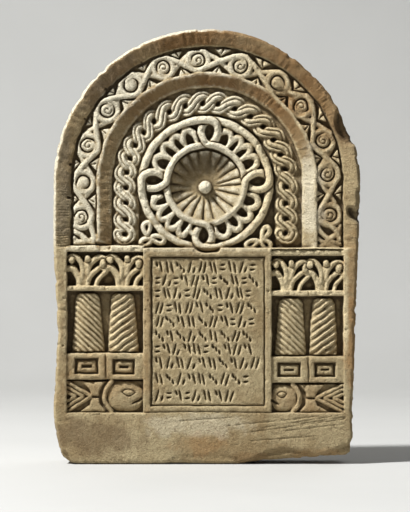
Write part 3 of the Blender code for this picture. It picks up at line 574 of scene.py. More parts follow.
# The dish's depths for these shares of its radius, and the side, in degrees, where it is deepest
DISH = ((0, 0.2, 0.6, 0.85, 1), (0.0335, 0.0318, 0.0250, 0.0196, 0.0158))
DEEPEST_SIDE = 112
BOSS_PX = 7.0


def rosette():
    """Petals in a shallow dish around a boss, with a groove between each two."""
    cx, cz = px(ROSETTE_PX)[0]
    rim = ROSETTE_RADIUS_PX * PIXEL
    grooves = np.sort(np.array(PETAL_GROOVES, float) % 360)
    edges = np.concatenate([[grooves[-1] - 360], grooves, [grooves[0] + 360]])

    def dish(x, z, distance):
        away = np.hypot(x - cx, z - cz)
        angle = np.degrees(np.arctan2(z - cz, x - cx)) % 360
        slot = np.clip(np.searchsorted(edges, angle) - 1, 0, len(edges) - 2)
        span = edges[slot + 1] - edges[slot]
        across = (angle - edges[slot]) / span
        arc = away * np.radians(span)
        valley = np.minimum(across, 1 - across) * arc
        floor = np.interp(away / rim, *DISH)
        lean = smooth(0.5 + 0.75 * np.cos(np.radians(angle - DEEPEST_SIDE)))
        floor = floor + 0.0085 * lean * smooth(away / rim / 0.8)
        groove = 0.0034 * np.exp(-((valley / 0.0016) ** 2)) * smooth(away / rim / 0.25)
        swell = -0.0036 * np.sin(np.pi * np.clip(across, 0, 1)) ** 0.6 * smooth(away / rim / 0.9)
        return floor + groove + swell

    relief.patch(ellipse((cx, cz), (rim, rim), steps=80)[:-1], dish, FIELD_FLOOR, 0.0015)
    boss = BOSS_PX * PIXEL

    def crown(x, z, distance):
        return 0.0150 + 0.0080 * (1 - np.clip(distance / boss, 0, 1)) ** 2

    relief.patch(ellipse((cx, cz), (boss, boss), steps=24)[:-1], crown, 0.0320, 0.0022)


# The trefoils' loops: middle, angle in degrees, length and width
LOOPS_PX = (
    ((146.3, 228.4), 96, (12.0, 8.8)),
    ((146.3, 241.8), 200, (11.5, 8.8)),
    ((157.8, 239.0), 345, (12.5, 9.2)),
    ((265.4, 232.3), 60, (12.0, 8.8)),
    ((252.5, 243.8), 205, (12.5, 8.8)),
    ((265.9, 243.8), 310, (11.5, 8.8)),
)


def trefoils():
    """Almond-shaped loops in threes."""
    for centre, degrees, (length, width) in LOOPS_PX:
        t = np.linspace(0, 2 * math.pi, 25)[:-1]
        across = width / 2 * np.sin(t) * (0.75 + 0.25 * np.cos(t))
        loop = np.column_stack([length / 2 * np.cos(t), across]) * PIXEL
        c, s = math.cos(math.radians(degrees)), math.sin(math.radians(degrees))
        relief.strip(px(centre) + loop @ [[c, s], [-s, c]], 0.0054, 0.0130, FIELD_FLOOR, tube, closed=True)


# The columns
def box_px(x0, y0, x1, y1):
    return px((x0, y1), (x1, y1), (x1, y0), (x0, y0))


# Places in pixels. A shaft has its edges at the top, those at the foot and the way its flutes lean, a
# capital its middle and its size, and a fish its tail, nose, top, foot and gill and the way it faces.
SIDES = (
    dict(panel=(66.5, 244.5, 143.5, 413), beam=(65.5, 245, 144.5, 252.4),
         shelf=(65.5, 285.3, 144.5, 291.6), joint=105.4,
         shafts=((74.9, 99.0, 71.2, 105.0, -1), (110.6, 134.0, 107.2, 139.2, 1)),
         shaft_rows=(293.0, 352.4),
         blocks=(65.5, 352.6, 144.5, 380.3),
         coffers=((74.3, 358.0, 98.5, 374.6), (112.3, 359.0, 135, 375.0)),
         capitals=((82.3, 1.0), (121.8, 1.0)), capital_foot=285.5,
         fish=(67.0, 143.5, 381.3, 412.5, 105.5, 1)),
    dict(panel=(271.5, 249, 344, 413), beam=(270.5, 249.5, 345, 256.4),
         shelf=(270.5, 290, 345, 296.6), joint=308.6,
         shafts=((279.2, 302.8, 274.2, 307.0, -1), (312.6, 335.0, 308.8, 338.4, 1)),
         shaft_rows=(298.0, 355.8),
         blocks=(270.5, 356, 345, 383.5),
         coffers=((277.2, 362.4, 301, 377.6), (314.5, 362.4, 336, 377.6)),
         capitals=((286.9, 0.93), (321.8, 0.93)), capital_foot=290.2,
         fish=(343.0, 270.8, 384.5, 412.5, 299.0, -1)),
)
# How steep the flutes are and how far apart, for the two ways they lean
FLUTES = {-1: (0.92, 6.1), 1: (0.76, 7.2)}


def column(x0_top, x1_top, x0_foot, x1_foot, lean, top_row, foot_row):
    """A round, tapering shaft with flutes cut aslant across it."""
    outline = px((x0_foot, foot_row), (x1_foot, foot_row),
                 (x1_top + 0.6, top_row + 6), (x1_top - 1.2, top_row + 2), (x1_top - 4.5, top_row),
                 (x0_top + 4.5, top_row), (x0_top + 1.2, top_row + 2), (x0_top - 0.3, top_row + 6))
    (_, top), (_, foot) = px((0, top_row), (0, foot_row))
    rows = px((x0_top, top_row), (x1_top, top_row), (x0_foot, foot_row), (x1_foot, foot_row))[:, 0]
    steepness, pitch_px = FLUTES[lean]

    def surface(x, z, distance):
        up = (z - foot) / (top - foot)
        left, right = rows[2] + (rows[0] - rows[2]) * up, rows[3] + (rows[1] - rows[3]) * up
        across = (x - (left + right) / 2) / ((right - left) / 2)
        round_off = 1 - np.sqrt(np.clip(1 - 0.94 * across**2, 0, 1))
        wobble = 0.0006 * np.sin(x * 190 + z * 60 + lean)
        wave = ((z + wobble - lean * steepness * (x - (left + right) / 2)) / (pitch_px * PIXEL)) % 1
        flute = 0.0068 * (1 - np.abs(2 * wave - 1)) ** 0.75
        return FISH_TOP - 0.0006 + 0.0115 * round_off + flute

    relief.patch(outline, surface, NICHE_FLOOR, 0.0018)


# A capital, from the middle of its foot: pixels to the side and up. Its right side has one leaf more.
RIBS_PX = (
    ((4.5, 11.2), (6.4, 19.1), (10.7, 24.9), (16.3, 28.1), (21.9, 26.4), (23.3, 22.4)),
    ((4.5, 0.6), (6.4, 7.9), (11.8, 14.0), (18.3, 18.0), (22.8, 15.9)),
    ((13.5, 0.0), (15.2, 5.6), (19.1, 10.1), (23.4, 13.6)),
    ((-0.6, 7.9), (0.0, 15.7), (-1.7, 22.4), (-6.2, 28.1), (-10.7, 29.2), (-14.0, 26.9)),
    ((-3.4, 0.0), (-3.9, 6.7), (-7.3, 13.5), (-11.2, 18.0), (-14.6, 16.8)),
)
RIB_HALVES_PX = (3.3, 3.1, 2.7, 3.2, 3.8)
VOLUTES_PX = ((20.3, 22.0, 4.0), (-11.6, 25.0, 3.6), (5.1, 27.0, 3.6))
STALK_PX = ((0.0, 0.0), (1.1, 11.2), (4.6, 25.5))


def capital(middle_px, foot_row, share, clip_px):
    """Leaves that rise from the foot and curl over to both sides, with volutes and a bud on a stalk."""
    def place(pairs, margin=1.0):
        low, high = clip_px[0] + margin, clip_px[1] - margin
        return px(*[(min(max(middle_px + x * share, low), high), foot_row - y) for x, y in pairs])

    for rib, half in zip(RIBS_PX, RIB_HALVES_PX):
        line = place(spline(rib, 5))
        relief.strip(line, half * PIXEL * share, LEAF_TOP, NICHE_FLOOR, tube)
    relief.strip(place(STALK_PX), np.array((5.0, 3.8, 2.6)) * PIXEL, LEAF_TOP + 0.0014, NICHE_FLOOR, tube)
    for x, y, size in VOLUTES_PX:
        centre = place([(x, y)], size + 1.2)[0]
        size = size * PIXEL
        ring = ellipse(centre, (size + 0.0014, size * 1.1 + 0.0014), steps=18)[:-1]
        relief.strip(ring, 0.0014, LEAF_TOP + 0.0065, LEAF_TOP, cut, closed=True)
        disc = ellipse(centre, (size, size * 1.1), steps=18)[:-1]
        relief.patch(disc, LEAF_TOP - 0.0022, NICHE_FLOOR, 0.0024)


def joint(column_px, top_row, foot_row):
    """A thin upright line between two blocks."""
    line = px((column_px, top_row), (column_px + 0.5, foot_row))
    relief.strip(line, 0.0018, BLOCK_TOP + 0.0050, BLOCK_TOP, cut)


def coffer(x0, y0, x1, y1):
    """A sunk box with a sloping block in it and a slot in the block."""
    relief.patch(box_px(x0, y0, x1, y1), 0.0125, BLOCK_TOP, 0.0012, raised=False)
    relief.patch(box_px(x0 + 1.5, y0 + 1.5, x1 - 1.5, y1 - 1.5), 0.0060, 0.0125, 0.0046)
    relief.patch(box_px(x0 + 6.6, y0 + 6.4, x1 - 6.6, y1 - 6.4), 0.0135, 0.0060, 0.0012, raised=False)


FISH_FLOOR = 0.0118
TAIL_STRIPES = 3
# The fins, as shares from the tail's end to the gill and from the foot to the top
FINS = (
    ((0.38, 1.0), (1.0, 1.0), (0.84, 0.70), (0.83, 0.52), (0.63, 0.52), (0.57, 0.72)),
    ((0.63, 0.47), (0.84, 0.47), (0.86, 0.27), (1.02, 0.0), (0.30, 0.0), (0.57, 0.24)),
)
LIDS = ((-1, 0.25), (-0.5, 0.85), (0, 1), (0.5, 0.75), (1, 0.1), (0.5, -0.7), (0, -1), (-0.5, -0.6))


def fish(tail_px, nose_px, top_row, foot_row, gill_px, way):
    """A fish with a tail of nested stripes, two fins, a gill arch and a round head with eye and mouth."""
    height = foot_row - top_row
    middle_row = (top_row + foot_row) / 2
    ground = box_px(min(tail_px, nose_px), top_row - 0.5, max(tail_px, nose_px), foot_row)
    relief.patch(ground, FISH_FLOOR, NICHE_FLOOR, 0.001)

    def at(*shares):
        """Points from the tail's end to the gill and from the foot to the top, as shares."""
        return px(*[(tail_px + (gill_px - tail_px) * x, foot_row - height * y) for x, y in shares])

    head_x, head_half = (gill_px + nose_px) / 2 + way * 0.9, abs(nose_px - gill_px) / 2 - 0.7
    round_form = ellipse((0, 0), (1.0, 1.0), steps=40)[:-1]
    round_form = np.sign(round_form) * np.abs(round_form) ** 0.86
    head = px(*[(head_x + way * x * head_half, middle_row - y * height * 0.49) for x, y in round_form])
    relief.patch(head, lambda x, z, distance: FISH_TOP + 0.0045 * np.exp(-distance / 0.008),
                 FISH_FLOOR, 0.0018)
    gill = px(*[(gill_px + way * (7.0 * u * u - 1.0), middle_row + u * height * 0.48)
                for u in np.linspace(-1, 1, 11)])
    relief.strip(gill, 0.0047, FISH_TOP - 0.0004, FISH_FLOOR, tube)
    for fin in FINS:
        relief.patch(at(*fin), FISH_TOP + 0.0008, FISH_FLOOR, 0.0016)
    for k in range(TAIL_STRIPES):
        meet = 0.60 - 0.200 * k
        reach = 0.47 - 0.165 * k
        for side in (1, -1):
            stripe = at((meet, 0.5 + side * 0.02), (meet * 0.55, 0.5 + side * reach * 0.46),
                        (0.01, 0.5 + side * reach))
            relief.strip(spline(stripe, 4), 0.0036, FISH_TOP + 0.0004, FISH_FLOOR, tube)
    eye_x, eye_row = head_x + way * head_half * 0.16, middle_row - height * 0.13
    wide, tall = head_half * 0.38, height * 0.115
    lids = px(*[(eye_x + way * x * wide, eye_row - y * tall) for x, y in LIDS])
    relief.strip(lids, 0.0017, FISH_TOP + 0.0058, FISH_TOP, cut, closed=True)
    ball = ellipse(px((eye_x, eye_row))[0], (0.0040, 0.0038), steps=14)[:-1]
    relief.patch(ball, FISH_TOP - 0.0014, FISH_TOP + 0.0020, 0.0024)
    mouth = px((head_x + way * head_half * 0.40, middle_row + height * 0.22),
               (head_x + way * head_half * 0.70, middle_row + height * 0.14),
               (head_x + way * head_half * 0.88, middle_row + height * 0.06))
    relief.strip(mouth, (0.0014, 0.0032, 0.0036), FISH_TOP + 0.0095, FISH_TOP, cut)


def side_panels():
    for side in SIDES:
        relief.patch(box_px(*side["panel"]), NICHE_FLOOR, 0.0, 0.0014, raised=False)
        relief.patch(box_px(*side["beam"]), BLOCK_TOP, NICHE_FLOOR, 0.0016)
        for stone in (side["shelf"], side["blocks"]):
            relief.patch(box_px(*stone), BLOCK_TOP, NICHE_FLOOR, 0.0016)
            joint(side["joint"], stone[1], stone[3])
        for x0_top, x1_top, x0_foot, x1_foot, lean in side["shafts"]:
            column(x0_top, x1_top, x0_foot, x1_foot, lean, *side["shaft_rows"])
        for corners in side["coffers"]:
            coffer(*corners)
        for middle, share in side["capitals"]:
            capital(middle, side["capital_foot"], share, (side["panel"][0], side["panel"][2]))
        fish(*side["fish"])


# The inscribed panel
FRAME_PX = (151.5, 257.5, 264.5, 405.5)
FRAME_FOOT_PX = ((142.5, 412.4), (206.0, 411.6), (272.5, 412.8))
ROWS_PX = (267.4, 280.6, 293.5, 308.0, 321.7, 336.2, 349.4, 363.1, 379.3, 395.9)
LAST_ROW_SHARE = 0.80
STROKE_HALF = 0.0028
STROKE_DEPTH = 0.0082
STROKE_SWELL = np.array((0.55, 0.9, 1.0, 1.0, 0.95, 0.85, 0.45))
# Groups of strokes: how wide a group is, then each stroke from and to, in pixels from the group's left
# and the row's middle
GROUPS_PX = (
    (8.0, ((3.2, -5.4, 0.4, 5.0), (7.6, -4.4, 4.8, 5.6))),
    (7.6, ((0.4, -5.6, 2.6, 4.6), (4.6, -4.4, 7.0, 5.8))),
    (7.6, ((3.2, -5.4, 0.4, 5.2), (6.8, 0.4, 5.4, 5.4))),
    (8.4, ((0.4, -5.2, 1.6, -1.0), (3.4, -2.2, 4.6, 2.2), (6.6, 1.0, 7.8, 5.4))),
    (7.0, ((0.4, -5.2, 1.8, -0.2), (4.2, -5.2, 6.8, 5.2))),
    (4.6, ((0.3, -2.4, 4.3, -2.8), (0.3, 2.6, 4.3, 2.2))),
)


def tablet():
    """A sunk field in a grooved frame, with rows of separate chiselled strokes in place of writing."""
    field = box_px(*FRAME_PX)
    relief.patch(field, TABLET_DEPTH, 0.0, 0.0014, raised=False)
    relief.strip(field, 0.0024, 0.0095, 0.0, cut, closed=True)
    relief.strip(px(*FRAME_FOOT_PX), 0.0019, 0.0034, 0.0, cut)
    draw = np.random.default_rng(5)
    x0, _, x1, _ = FRAME_PX
    for row in ROWS_PX:
        x = x0 + 4.0
        end = x1 - 5.0 if row != ROWS_PX[-1] else x0 + (x1 - x0) * LAST_ROW_SHARE
        last = -1
        while True:
            kind = int(draw.integers(len(GROUPS_PX)))
            if kind == last:
                continue
            last = kind
            wide, strokes = GROUPS_PX[kind]
            if x + wide > end:
                break
            for ax, ay, bx, by in strokes:
                t = np.linspace(0, 1, 7)
                jitter = draw.uniform(-0.35, 0.35, 4)
                line = px(*np.column_stack([x + ax + jitter[0] + (bx - ax + jitter[1]) * t,
                                            row + ay + jitter[2] + (by - ay + jitter[3]) * t]))
                relief.strip(line, STROKE_HALF * STROKE_SWELL, TABLET_DEPTH + STROKE_DEPTH, TABLET_DEPTH, cut)
            x += wide + draw.uniform(2.6, 3.8)


# Breaks, chips and holes
# Breaks: outline, depth and how far in from its edge a break reaches that depth
BREAKS_PX = (
    (((335, 111), (343, 112), (352, 122), (360, 145), (349, 146), (340, 139), (334, 126)), 0.0135, 0.011),
    (((345, 210), (350, 205), (357, 206), (364, 201), (364, 224), (356, 225), (349, 219)), 0.019, 0.011),
    (((355, 192), (364, 192), (364, 236), (357, 231)), 0.005, 0.007),
    (((94, 243), (103, 242), (111, 245), (109, 251), (99, 251)), 0.006, 0.003),
    (((50, 428), (57, 426), (63, 444), (72, 458), (84, 470), (50, 470)), 0.006, 0.008),
    (((248, 470), (254, 455), (286, 446), (318, 452), (346, 442), (362, 440), (362, 470)), 0.0045, 0.010),
    (((272, 91), (283, 86), (297, 99), (306, 114), (297, 117), (282, 104)), 0.0042, 0.007),
    (((168, 470), (176, 455), (214, 452), (246, 458), (250, 470)), 0.0016, 0.008),
)
SCRATCHES_PX = (
    ((238, 434), (345, 419)), ((262, 428), (346, 414)), ((285, 431), (344, 424)), ((225, 426), (300, 419)),
    ((250, 441), (318, 436)), ((300, 424), (346, 417)), ((180, 421), (240, 417)), ((270, 422), (320, 416)),
)
# Holes: column, row and radius
HOLES_PX = (
    (268, 291, 2.6), (266, 380, 2.2), (89.5, 300, 1.4), (121.5, 303, 1.3), (122, 323, 1.4), (88, 347, 1.5),
    (291, 305, 1.4), (325, 309, 1.3), (290, 337, 1.4), (326, 350, 1.3), (148, 300, 1.5), (69, 398, 1.4),
    (212, 148, 1.4), (63, 346, 1.6),
)
PITS = 420


def damage():
    for outline, depth, soft in BREAKS_PX:
        edge = spline(px(*outline), 4, closed=True)
        x, z = edge.T
        edge = edge + 0.0016 * np.column_stack([noise(x, 0, z, 0.012), noise(x, 3, z, 0.012)])
        relief.scoop(edge, depth, soft)
    for ends in SCRATCHES_PX:
        relief.strip(px(*ends), 0.0014, 0.0013, 0.0, cut)
    for x, y, size in HOLES_PX:
        relief.pit(px((x, y))[0], size * PIXEL, 0.004)
    draw = np.random.default_rng(21)
    for _ in range(PITS):
        x, z = draw.uniform(-RADIUS, RADIUS), draw.uniform(0, HEIGHT)
        relief.pit((x, z), draw.uniform(0.0010, 0.0026), draw.uniform(0.0004, 0.0013))


def unsteady():
    """Shifts what is drawn by up to about a millimetre to and fro, as a hand does."""
    dx = 0.0012 * noise(GRID_X, 11, GRID_Z, 0.017) + 0.0005 * noise(GRID_X, 12, GRID_Z, 0.006)
    dz = 0.0012 * noise(GRID_X, 13, GRID_Z, 0.017) + 0.0005 * noise(GRID_X, 14, GRID_Z, 0.006)
    sway = 0.6 + 0.4 * smooth((GRID_Z - ARCH_FOOT) / 0.02)
    relief.depth = sampled(relief.depth, GRID_X + dx * sway, GRID_Z + dz * sway)


def chipped():
    """Small bites out of everything that stands proud."""
    proud = smooth((blur(relief.depth, 0.0040 / CELL) - relief.depth - 0.0008) / 0.0020)
    bite = smooth((noise(GRID_X, 15, GRID_Z, 0.0075) - 0.38) / 0.25)
    bite = bite + 0.6 * smooth((noise(GRID_X, 16, GRID_Z, 0.0036) - 0.45) / 0.2)
    relief.depth = relief.depth + 0.0017 * proud * bite


HATCH_PITCH = 0.0046


def weather():
    """Softens every edge, then adds the stone's unevenness and the marks of the chisel."""
    sharp = relief.depth
    soft = blur(sharp, 0.0009 / CELL)
    mix = 0.08 + 0.40 * smooth(0.5 + fractal(GRID_X, 0, GRID_Z, 0.05, 2))
    depth = sharp * (1 - mix) + soft * mix
    depth = depth + 0.0010 * fractal(GRID_X, 1, GRID_Z, 0.030)
    depth = depth + 0.00105 * fractal(GRID_X, 2, GRID_Z, 0.0060, 2)
    # chisel marks across the rim and the inner band
    rim = smooth((ARCH_R - FRIEZE_OUT) / 0.002)
    bands = (rim + in_band(FIELD_RADIUS, BAND_OUT)) * smooth((GRID_Z - ARCH_FOOT) / 0.003)
    chisel = noise(ARCH_S, 5, ARCH_R * 0.12, 0.0034) * smooth(0.6 + noise(GRID_X, 6, GRID_Z, 0.03))
    hatched = smooth((0.16 - ARCH_S) / 0.08) + 0.6 * rim * smooth((ARCH_S - 0.55) / 0.1)
    hatch = np.sin(ARCH_S * math.tau / HATCH_PITCH + 5 * noise(GRID_X, 22, GRID_Z, 0.03))
    hatch = hatch * hatched * smooth(0.5 + 1.2 * noise(GRID_X, 23, GRID_Z, 0.012))
    depth = depth + bands * (0.0012 * chisel + 0.0006 * hatch)
    # long furrows on the plain foot, and marks on the margins beside the panels
    band = smooth((0.0940 - GRID_Z) / 0.004)
    furrows = noise(GRID_X * 0.22 + GRID_Z * 0.06, 8, GRID_Z - GRID_X * 0.10, 0.0042)
    depth = depth + 0.0009 * band * furrows * smooth(0.5 + noise(GRID_X, 9, GRID_Z, 0.07))
    margin = smooth((np.abs(GRID_X) - 0.252) / 0.003) * smooth((ARCH_FOOT - GRID_Z) / 0.003)
    depth = depth + 0.0011 * margin * noise(GRID_X * 0.2, 4, GRID_Z, 0.0050)
    relief.depth = depth


def chipped_outline(outline):
    """Takes small bites out of the slab's outline, but none out of what it stands on."""
    along = np.roll(outline, -1, 0) - np.roll(outline, 1, 0)
    along /= np.linalg.norm(along, axis=1, keepdims=True)
    inward = np.column_stack([-along[:, 1], along[:, 0]])
    x, z = outline.T
    bite = 0.0022 * smooth((noise(x, 20, z, 0.013) - 0.05) / 0.5)
    bite = bite + 0.0010 * smooth((noise(x, 21, z, 0.0055) - 0.1) / 0.4)
    return outline + inward * (bite * smooth((z - 0.003) / 0.006))[:, None]


def round_edges(outline):
    """Rolls the face over towards the slab's outline and roughens that edge."""
    ragged = noise(GRID_X, 0, GRID_Z, 0.011) * 0.5 + noise(GRID_X, 2, GRID_Z, 0.004) * 0.25
    distance, _ = relief.near(outline[::3], GRID_X, GRID_Z, True)
    reach = EDGE_ROUND * (0.95 + 0.5 * ragged)
    share = np.clip(1 - distance / reach, 0, 1)
    relief.depth = relief.depth + 0.0068 * share**1.1
    return share


def sampled(field, x, z):
    """Values of a grid field between its cells."""
    i = np.clip((x - relief.x[0]) / CELL, 0, len(relief.x) - 1.001)
    j = np.clip((z - relief.z[0]) / CELL, 0, len(relief.z) - 1.001)
    i0, j0 = i.astype(int), j.astype(int)
    fi, fj = i - i0, j - j0
    return (field[j0, i0] * (1 - fi) * (1 - fj) + field[j0, i0 + 1] * fi * (1 - fj)
            + field[j0 + 1, i0] * (1 - fi) * fj + field[j0 + 1, i0 + 1] * fi * fj)


# The mesh
def mesh_object(name, points, corners):
    """An object made of faces that all have the same number of corners."""
    mesh = bpy.data.meshes.new(name)
    mesh.vertices.add(len(points))
    mesh.vertices.foreach_set("co", points.astype(np.float32).ravel())
    mesh.loops.add(corners.size)
    mesh.loops.foreach_set("vertex_index", corners.astype(np.int32).ravel())
    mesh.polygons.add(len(corners))
    mesh.polygons.foreach_set("loop_start", np.arange(0, corners.size, corners.shape[1], dtype=np.int32))
    mesh.update(calc_edges=True)
    made = bpy.data.objects.new(name, mesh)
    bpy.context.scene.collection.objects.link(made)
    return made


def face_mesh(outline):
    """Points and triangles of the face: a grid cut to the outline and thinned to its budget of triangles."""
    centre_x, centre_z = relief.x[:-1] + CELL / 2, relief.z[:-1] + CELL / 2
    kept = inside(centre_x[None, :], centre_z[:, None], outline)
    columns = len(relief.x)
    j, i = np.nonzero(kept)
    corner = j * columns + i
    quads = np.column_stack([corner, corner + 1, corner + columns + 1, corner + columns])
    used, quads = np.unique(quads, return_inverse=True)
    quads = quads.reshape(-1, 4)
    x, z = relief.x[used % columns].copy(), relief.z[used // columns].copy()
    edges = np.sort(np.vstack([quads[:, [a, (a + 1) % 4]] for a in range(4)]), axis=1)
    pairs, times = np.unique(edges, axis=0, return_counts=True)
    rim = np.unique(pairs[times == 1])
    x[rim], z[rim] = snapped(x[rim], z[rim], outline)
    y = sampled(relief.depth, x, z) - THICKNESS / 2
    thin = mesh_object("face", np.column_stack([x, y, z]), quads)
    mesh = thin.data
    modifier = thin.modifiers.new("thin", "DECIMATE")
    modifier.ratio = FACE_TRIANGLES / (2 * len(quads))
    modifier.use_collapse_triangulate = True
    done = thin.evaluated_get(bpy.context.evaluated_depsgraph_get()).to_mesh()
    points = np.empty(len(done.vertices) * 3, np.float32)
    done.vertices.foreach_get("co", points)
    done.calc_loop_triangles()
    triangles = np.empty(len(done.loop_triangles) * 3, np.int32)
    done.loop_triangles.foreach_get("vertices", triangles)
    bpy.data.objects.remove(thin)
    bpy.data.meshes.remove(mesh)
    return points.reshape(-1, 3).astype(float), triangles.reshape(-1, 3)


def snapped(x, z, outline):
    """The nearest places on the outline."""
    best = np.full(len(x), np.inf)
    near_x, near_z = x.copy(), z.copy()
    for (ax, az), (bx, bz) in zip(outline, np.roll(outline, -1, 0)):
        dx, dz = bx - ax, bz - az
        close = (np.abs(x - ax) < 0.006) & (np.abs(z - az) < 0.006)
        share = np.clip(((x[close] - ax) * dx + (z[close] - az) * dz) / (dx * dx + dz * dz), 0, 1)
        qx, qz = ax + share * dx, az + share * dz
        distance = np.hypot(x[close] - qx, z[close] - qz)
        spot = np.flatnonzero(close)
        better = distance < best[spot]
        best[spot[better]] = distance[better]
        near_x[spot[better]], near_z[spot[better]] = qx[better], qz[better]
    return near_x, near_z


def rim_loop(triangles):
    """The open edge of the face, as vertices in order, with the face on its left."""
    edges = np.vstack([triangles[:, [0, 1]], triangles[:, [1, 2]], triangles[:, [2, 0]]])
    known = set(map(tuple, edges))
    follows = {a: b for a, b in known if (b, a) not in known}
    start = next(iter(follows))
    loop = [start]
    while follows[loop[-1]] != start:
        loop.append(follows[loop[-1]])
    return np.array(loop)


# How pale the columns' panels are made, by height: worn stone and painted highlight on their ridges
RUBBED_AND_HIGHLIT_BELOW = ((0.15, 0.20, 0.22, 0.31, 0.33, 0.39), (0.1, 0.1, 0.85, 0.85, 0.70, 0.65))
# How brown the rim and the inner band are, by the angle round the arch: stains on the rim; stains and painted
# shade on the inner band, darkest at its top, which faces down and away from the light
BROWN_RIM = ((0, 30, 45, 70, 105, 135, 170), (0.1, 0.6, 1.0, 1.0, 0.95, 0.5, 0.15))
BROWN_AND_SHADE_BAND = ((5, 30, 60, 90, 120, 150), (0.0, 0.6, 0.9, 1.0, 0.7, 0.35))


def rubbed_and_highlit_places():
    """Where the stone is pale on the ridges of the carving, more so above and to the left, towards the light:
    partly worn stone, partly painted highlight; and painted highlights along the edges of the tablet's
    strokes.
    """
    proud = blur(relief.depth, 0.0065 / CELL) - relief.depth
    in_arch = smooth((GRID_Z - ARCH_FOOT) / 0.004)
    frieze = in_band(FRIEZE_IN, FRIEZE_OUT)
    field = smooth((FIELD_RADIUS - ARCH_R) / 0.002)
    to_right = smooth((GRID_X - 0.02) / 0.15)
    twist = smooth((ARCH_R - 0.128) / 0.003)
    lower = smooth((0.500 - GRID_Z) / 0.06) * (1 - twist)
    arch = in_arch * (frieze * (1 - 0.92 * to_right) + field * (1 - 0.75 * to_right * twist - 0.35 * lower))
    proud = proud + 0.0014 * field * twist + 0.0008 * frieze
    # painted highlights on the tablet, along the edges of the strokes' grooves
    lip_highlights = smooth((blur(relief.depth, 0.0022 / CELL) - relief.depth - 0.0002) / 0.0010) * on_tablet()
    below = (1 - in_arch) * np.interp(GRID_Z, *RUBBED_AND_HIGHLIT_BELOW)
    beside = smooth((np.abs(GRID_X) - 0.115) / 0.004) * smooth((0.262 - np.abs(GRID_X)) / 0.004)
    return (arch + below * beside) * smooth((proud + 0.0006) / 0.0030) + 0.62 * lip_highlights


def on_tablet():
    """1 on the inscribed panel, and 0 beside it."""
    (x0, z1), (x1, z0) = px(FRAME_PX[:2], FRAME_PX[2:])
    return (GRID_X > x0) * (GRID_X < x1) * (GRID_Z > z0) * (GRID_Z < z1)


def stain_and_shade_places():
    """Where the stone is brown, by the angle round the arch, in patches: stains, and on the inner band also
    painted shade.
    """
    angle = np.degrees(np.arctan2(GRID_Z - SPRING, GRID_X))
    angle = np.where(angle < -90, angle + 360, angle)
    rim = smooth((ARCH_R - FRIEZE_OUT) / 0.002) * np.interp(angle, *BROWN_RIM)
    # on the inner band: stains and painted shade, strongest at the top
    band = in_band(FIELD_RADIUS, FRIEZE_IN) * np.interp(angle, *BROWN_AND_SHADE_BAND)
    patchy = 0.88 + 0.55 * fractal(GRID_X, 30, GRID_Z, 0.035)
    carved = in_band(FRIEZE_IN, FRIEZE_OUT) * 0.40
    carved = carved + smooth((FIELD_RADIUS - ARCH_R) / 0.002) * smooth((ARCH_R - 0.128) / 0.003) * 0.25
    carved = carved * smooth((GRID_X - 0.04) / 0.12)
    return np.clip((rim + band + carved) * patchy * smooth((GRID_Z - ARCH_FOOT) / 0.004), 0, 1)


def face_tones():
    """What colours the face, for each cell: how deep and how hollow it is, for grime and painted shade in
    recesses and painted highlights on proud edges; how pale, for worn ridges and painted highlights; and how
    brown, for stains and painted shade.
    """
    (rose_x, rose_z), = px(ROSETTE_PX)
    away = np.hypot(GRID_X - rose_x, GRID_Z - rose_z) / (ROSETTE_RADIUS_PX * PIXEL)
    # painted shade on the rosette: its depth darkening is cut on the lower side and raised on the upper side,
    # where the ring's shadow falls
    rosette_lit_side = (away < 1) * (1 - 1.3 * smooth((GRID_Z - rose_z) / 0.060) * smooth((away - 0.25) / 0.5))
    on_rim = smooth((ARCH_R - FRIEZE_OUT + 0.001) / 0.001) * smooth((GRID_Z - ARCH_FOOT) / 0.002)
    # above zero in recesses, for grime and painted shade; below zero on proud edges, for painted highlights
    hollow = relief.depth - blur(relief.depth, 0.0045 / CELL)
    # no painted highlight along the rim
    hollow = np.where(hollow < 0, hollow * (1 - on_rim), hollow)
    # on the tablet, weaker: less painted shade in the strokes and less painted highlight on their edges
    hollow = hollow * (1 - 0.45 * on_tablet())
    return {"deep": relief.depth * (1 - 0.36 * rosette_lit_side), "pale": rubbed_and_highlit_places(), "brown": stain_and_shade_places(),
            "hollow": hollow}


def walls(points, ring):
    """The sides as rings from the face's edge to the back, the first two of which each drop every other
    point. Gives points, triangles and the last ring."""
    edge, front = points[ring][:, [0, 2]], points[ring][:, 1]
    found, triangles = [], []
    total = len(points)
    for k in range(1, WALL_RINGS + 1):
        share = k / WALL_RINGS
        thinned = k in (1, 2)
        keep = np.arange(0, len(ring), 2 if thinned else 1)
        edge, front = edge[keep], front[keep]
        y = front + (THICKNESS / 2 - front) * share
        inward = edge.mean(0) - edge
        inward /= np.linalg.norm(inward, axis=1, keepdims=True)
        x, z = edge.T
        tooled = noise(x * 0.5, y + z * 0.8, z * 0.5, 0.0055)
        rough = 0.0011 * (1 + fractal(x, y, z, 0.022)) + 0.0005 * (1 + tooled)
        flat_foot = smooth((z - 0.001) / 0.006)
        rough = rough * flat_foot * smooth(share * 8) + 0.0035 * smooth((share - 0.95) / 0.05) * flat_foot
        found.append(np.column_stack([x + inward[:, 0] * rough, y, z + inward[:, 1] * rough]))
        new = total + np.arange(len(keep))
        total += len(keep)
        a, b = ring[keep], ring[np.roll(keep, -1)]
        if thinned:
            between = np.roll(ring, -1)[keep]
            triangles.append(np.column_stack([between, a, new]))
            triangles.append(np.column_stack([b, between, new])[between != b])
        else:
            triangles.append(np.column_stack([b, a, new]))
        triangles.append(np.column_stack([b, new, np.roll(new, -1)]))
        ring = new
    return np.vstack(found), np.vstack(triangles), ring


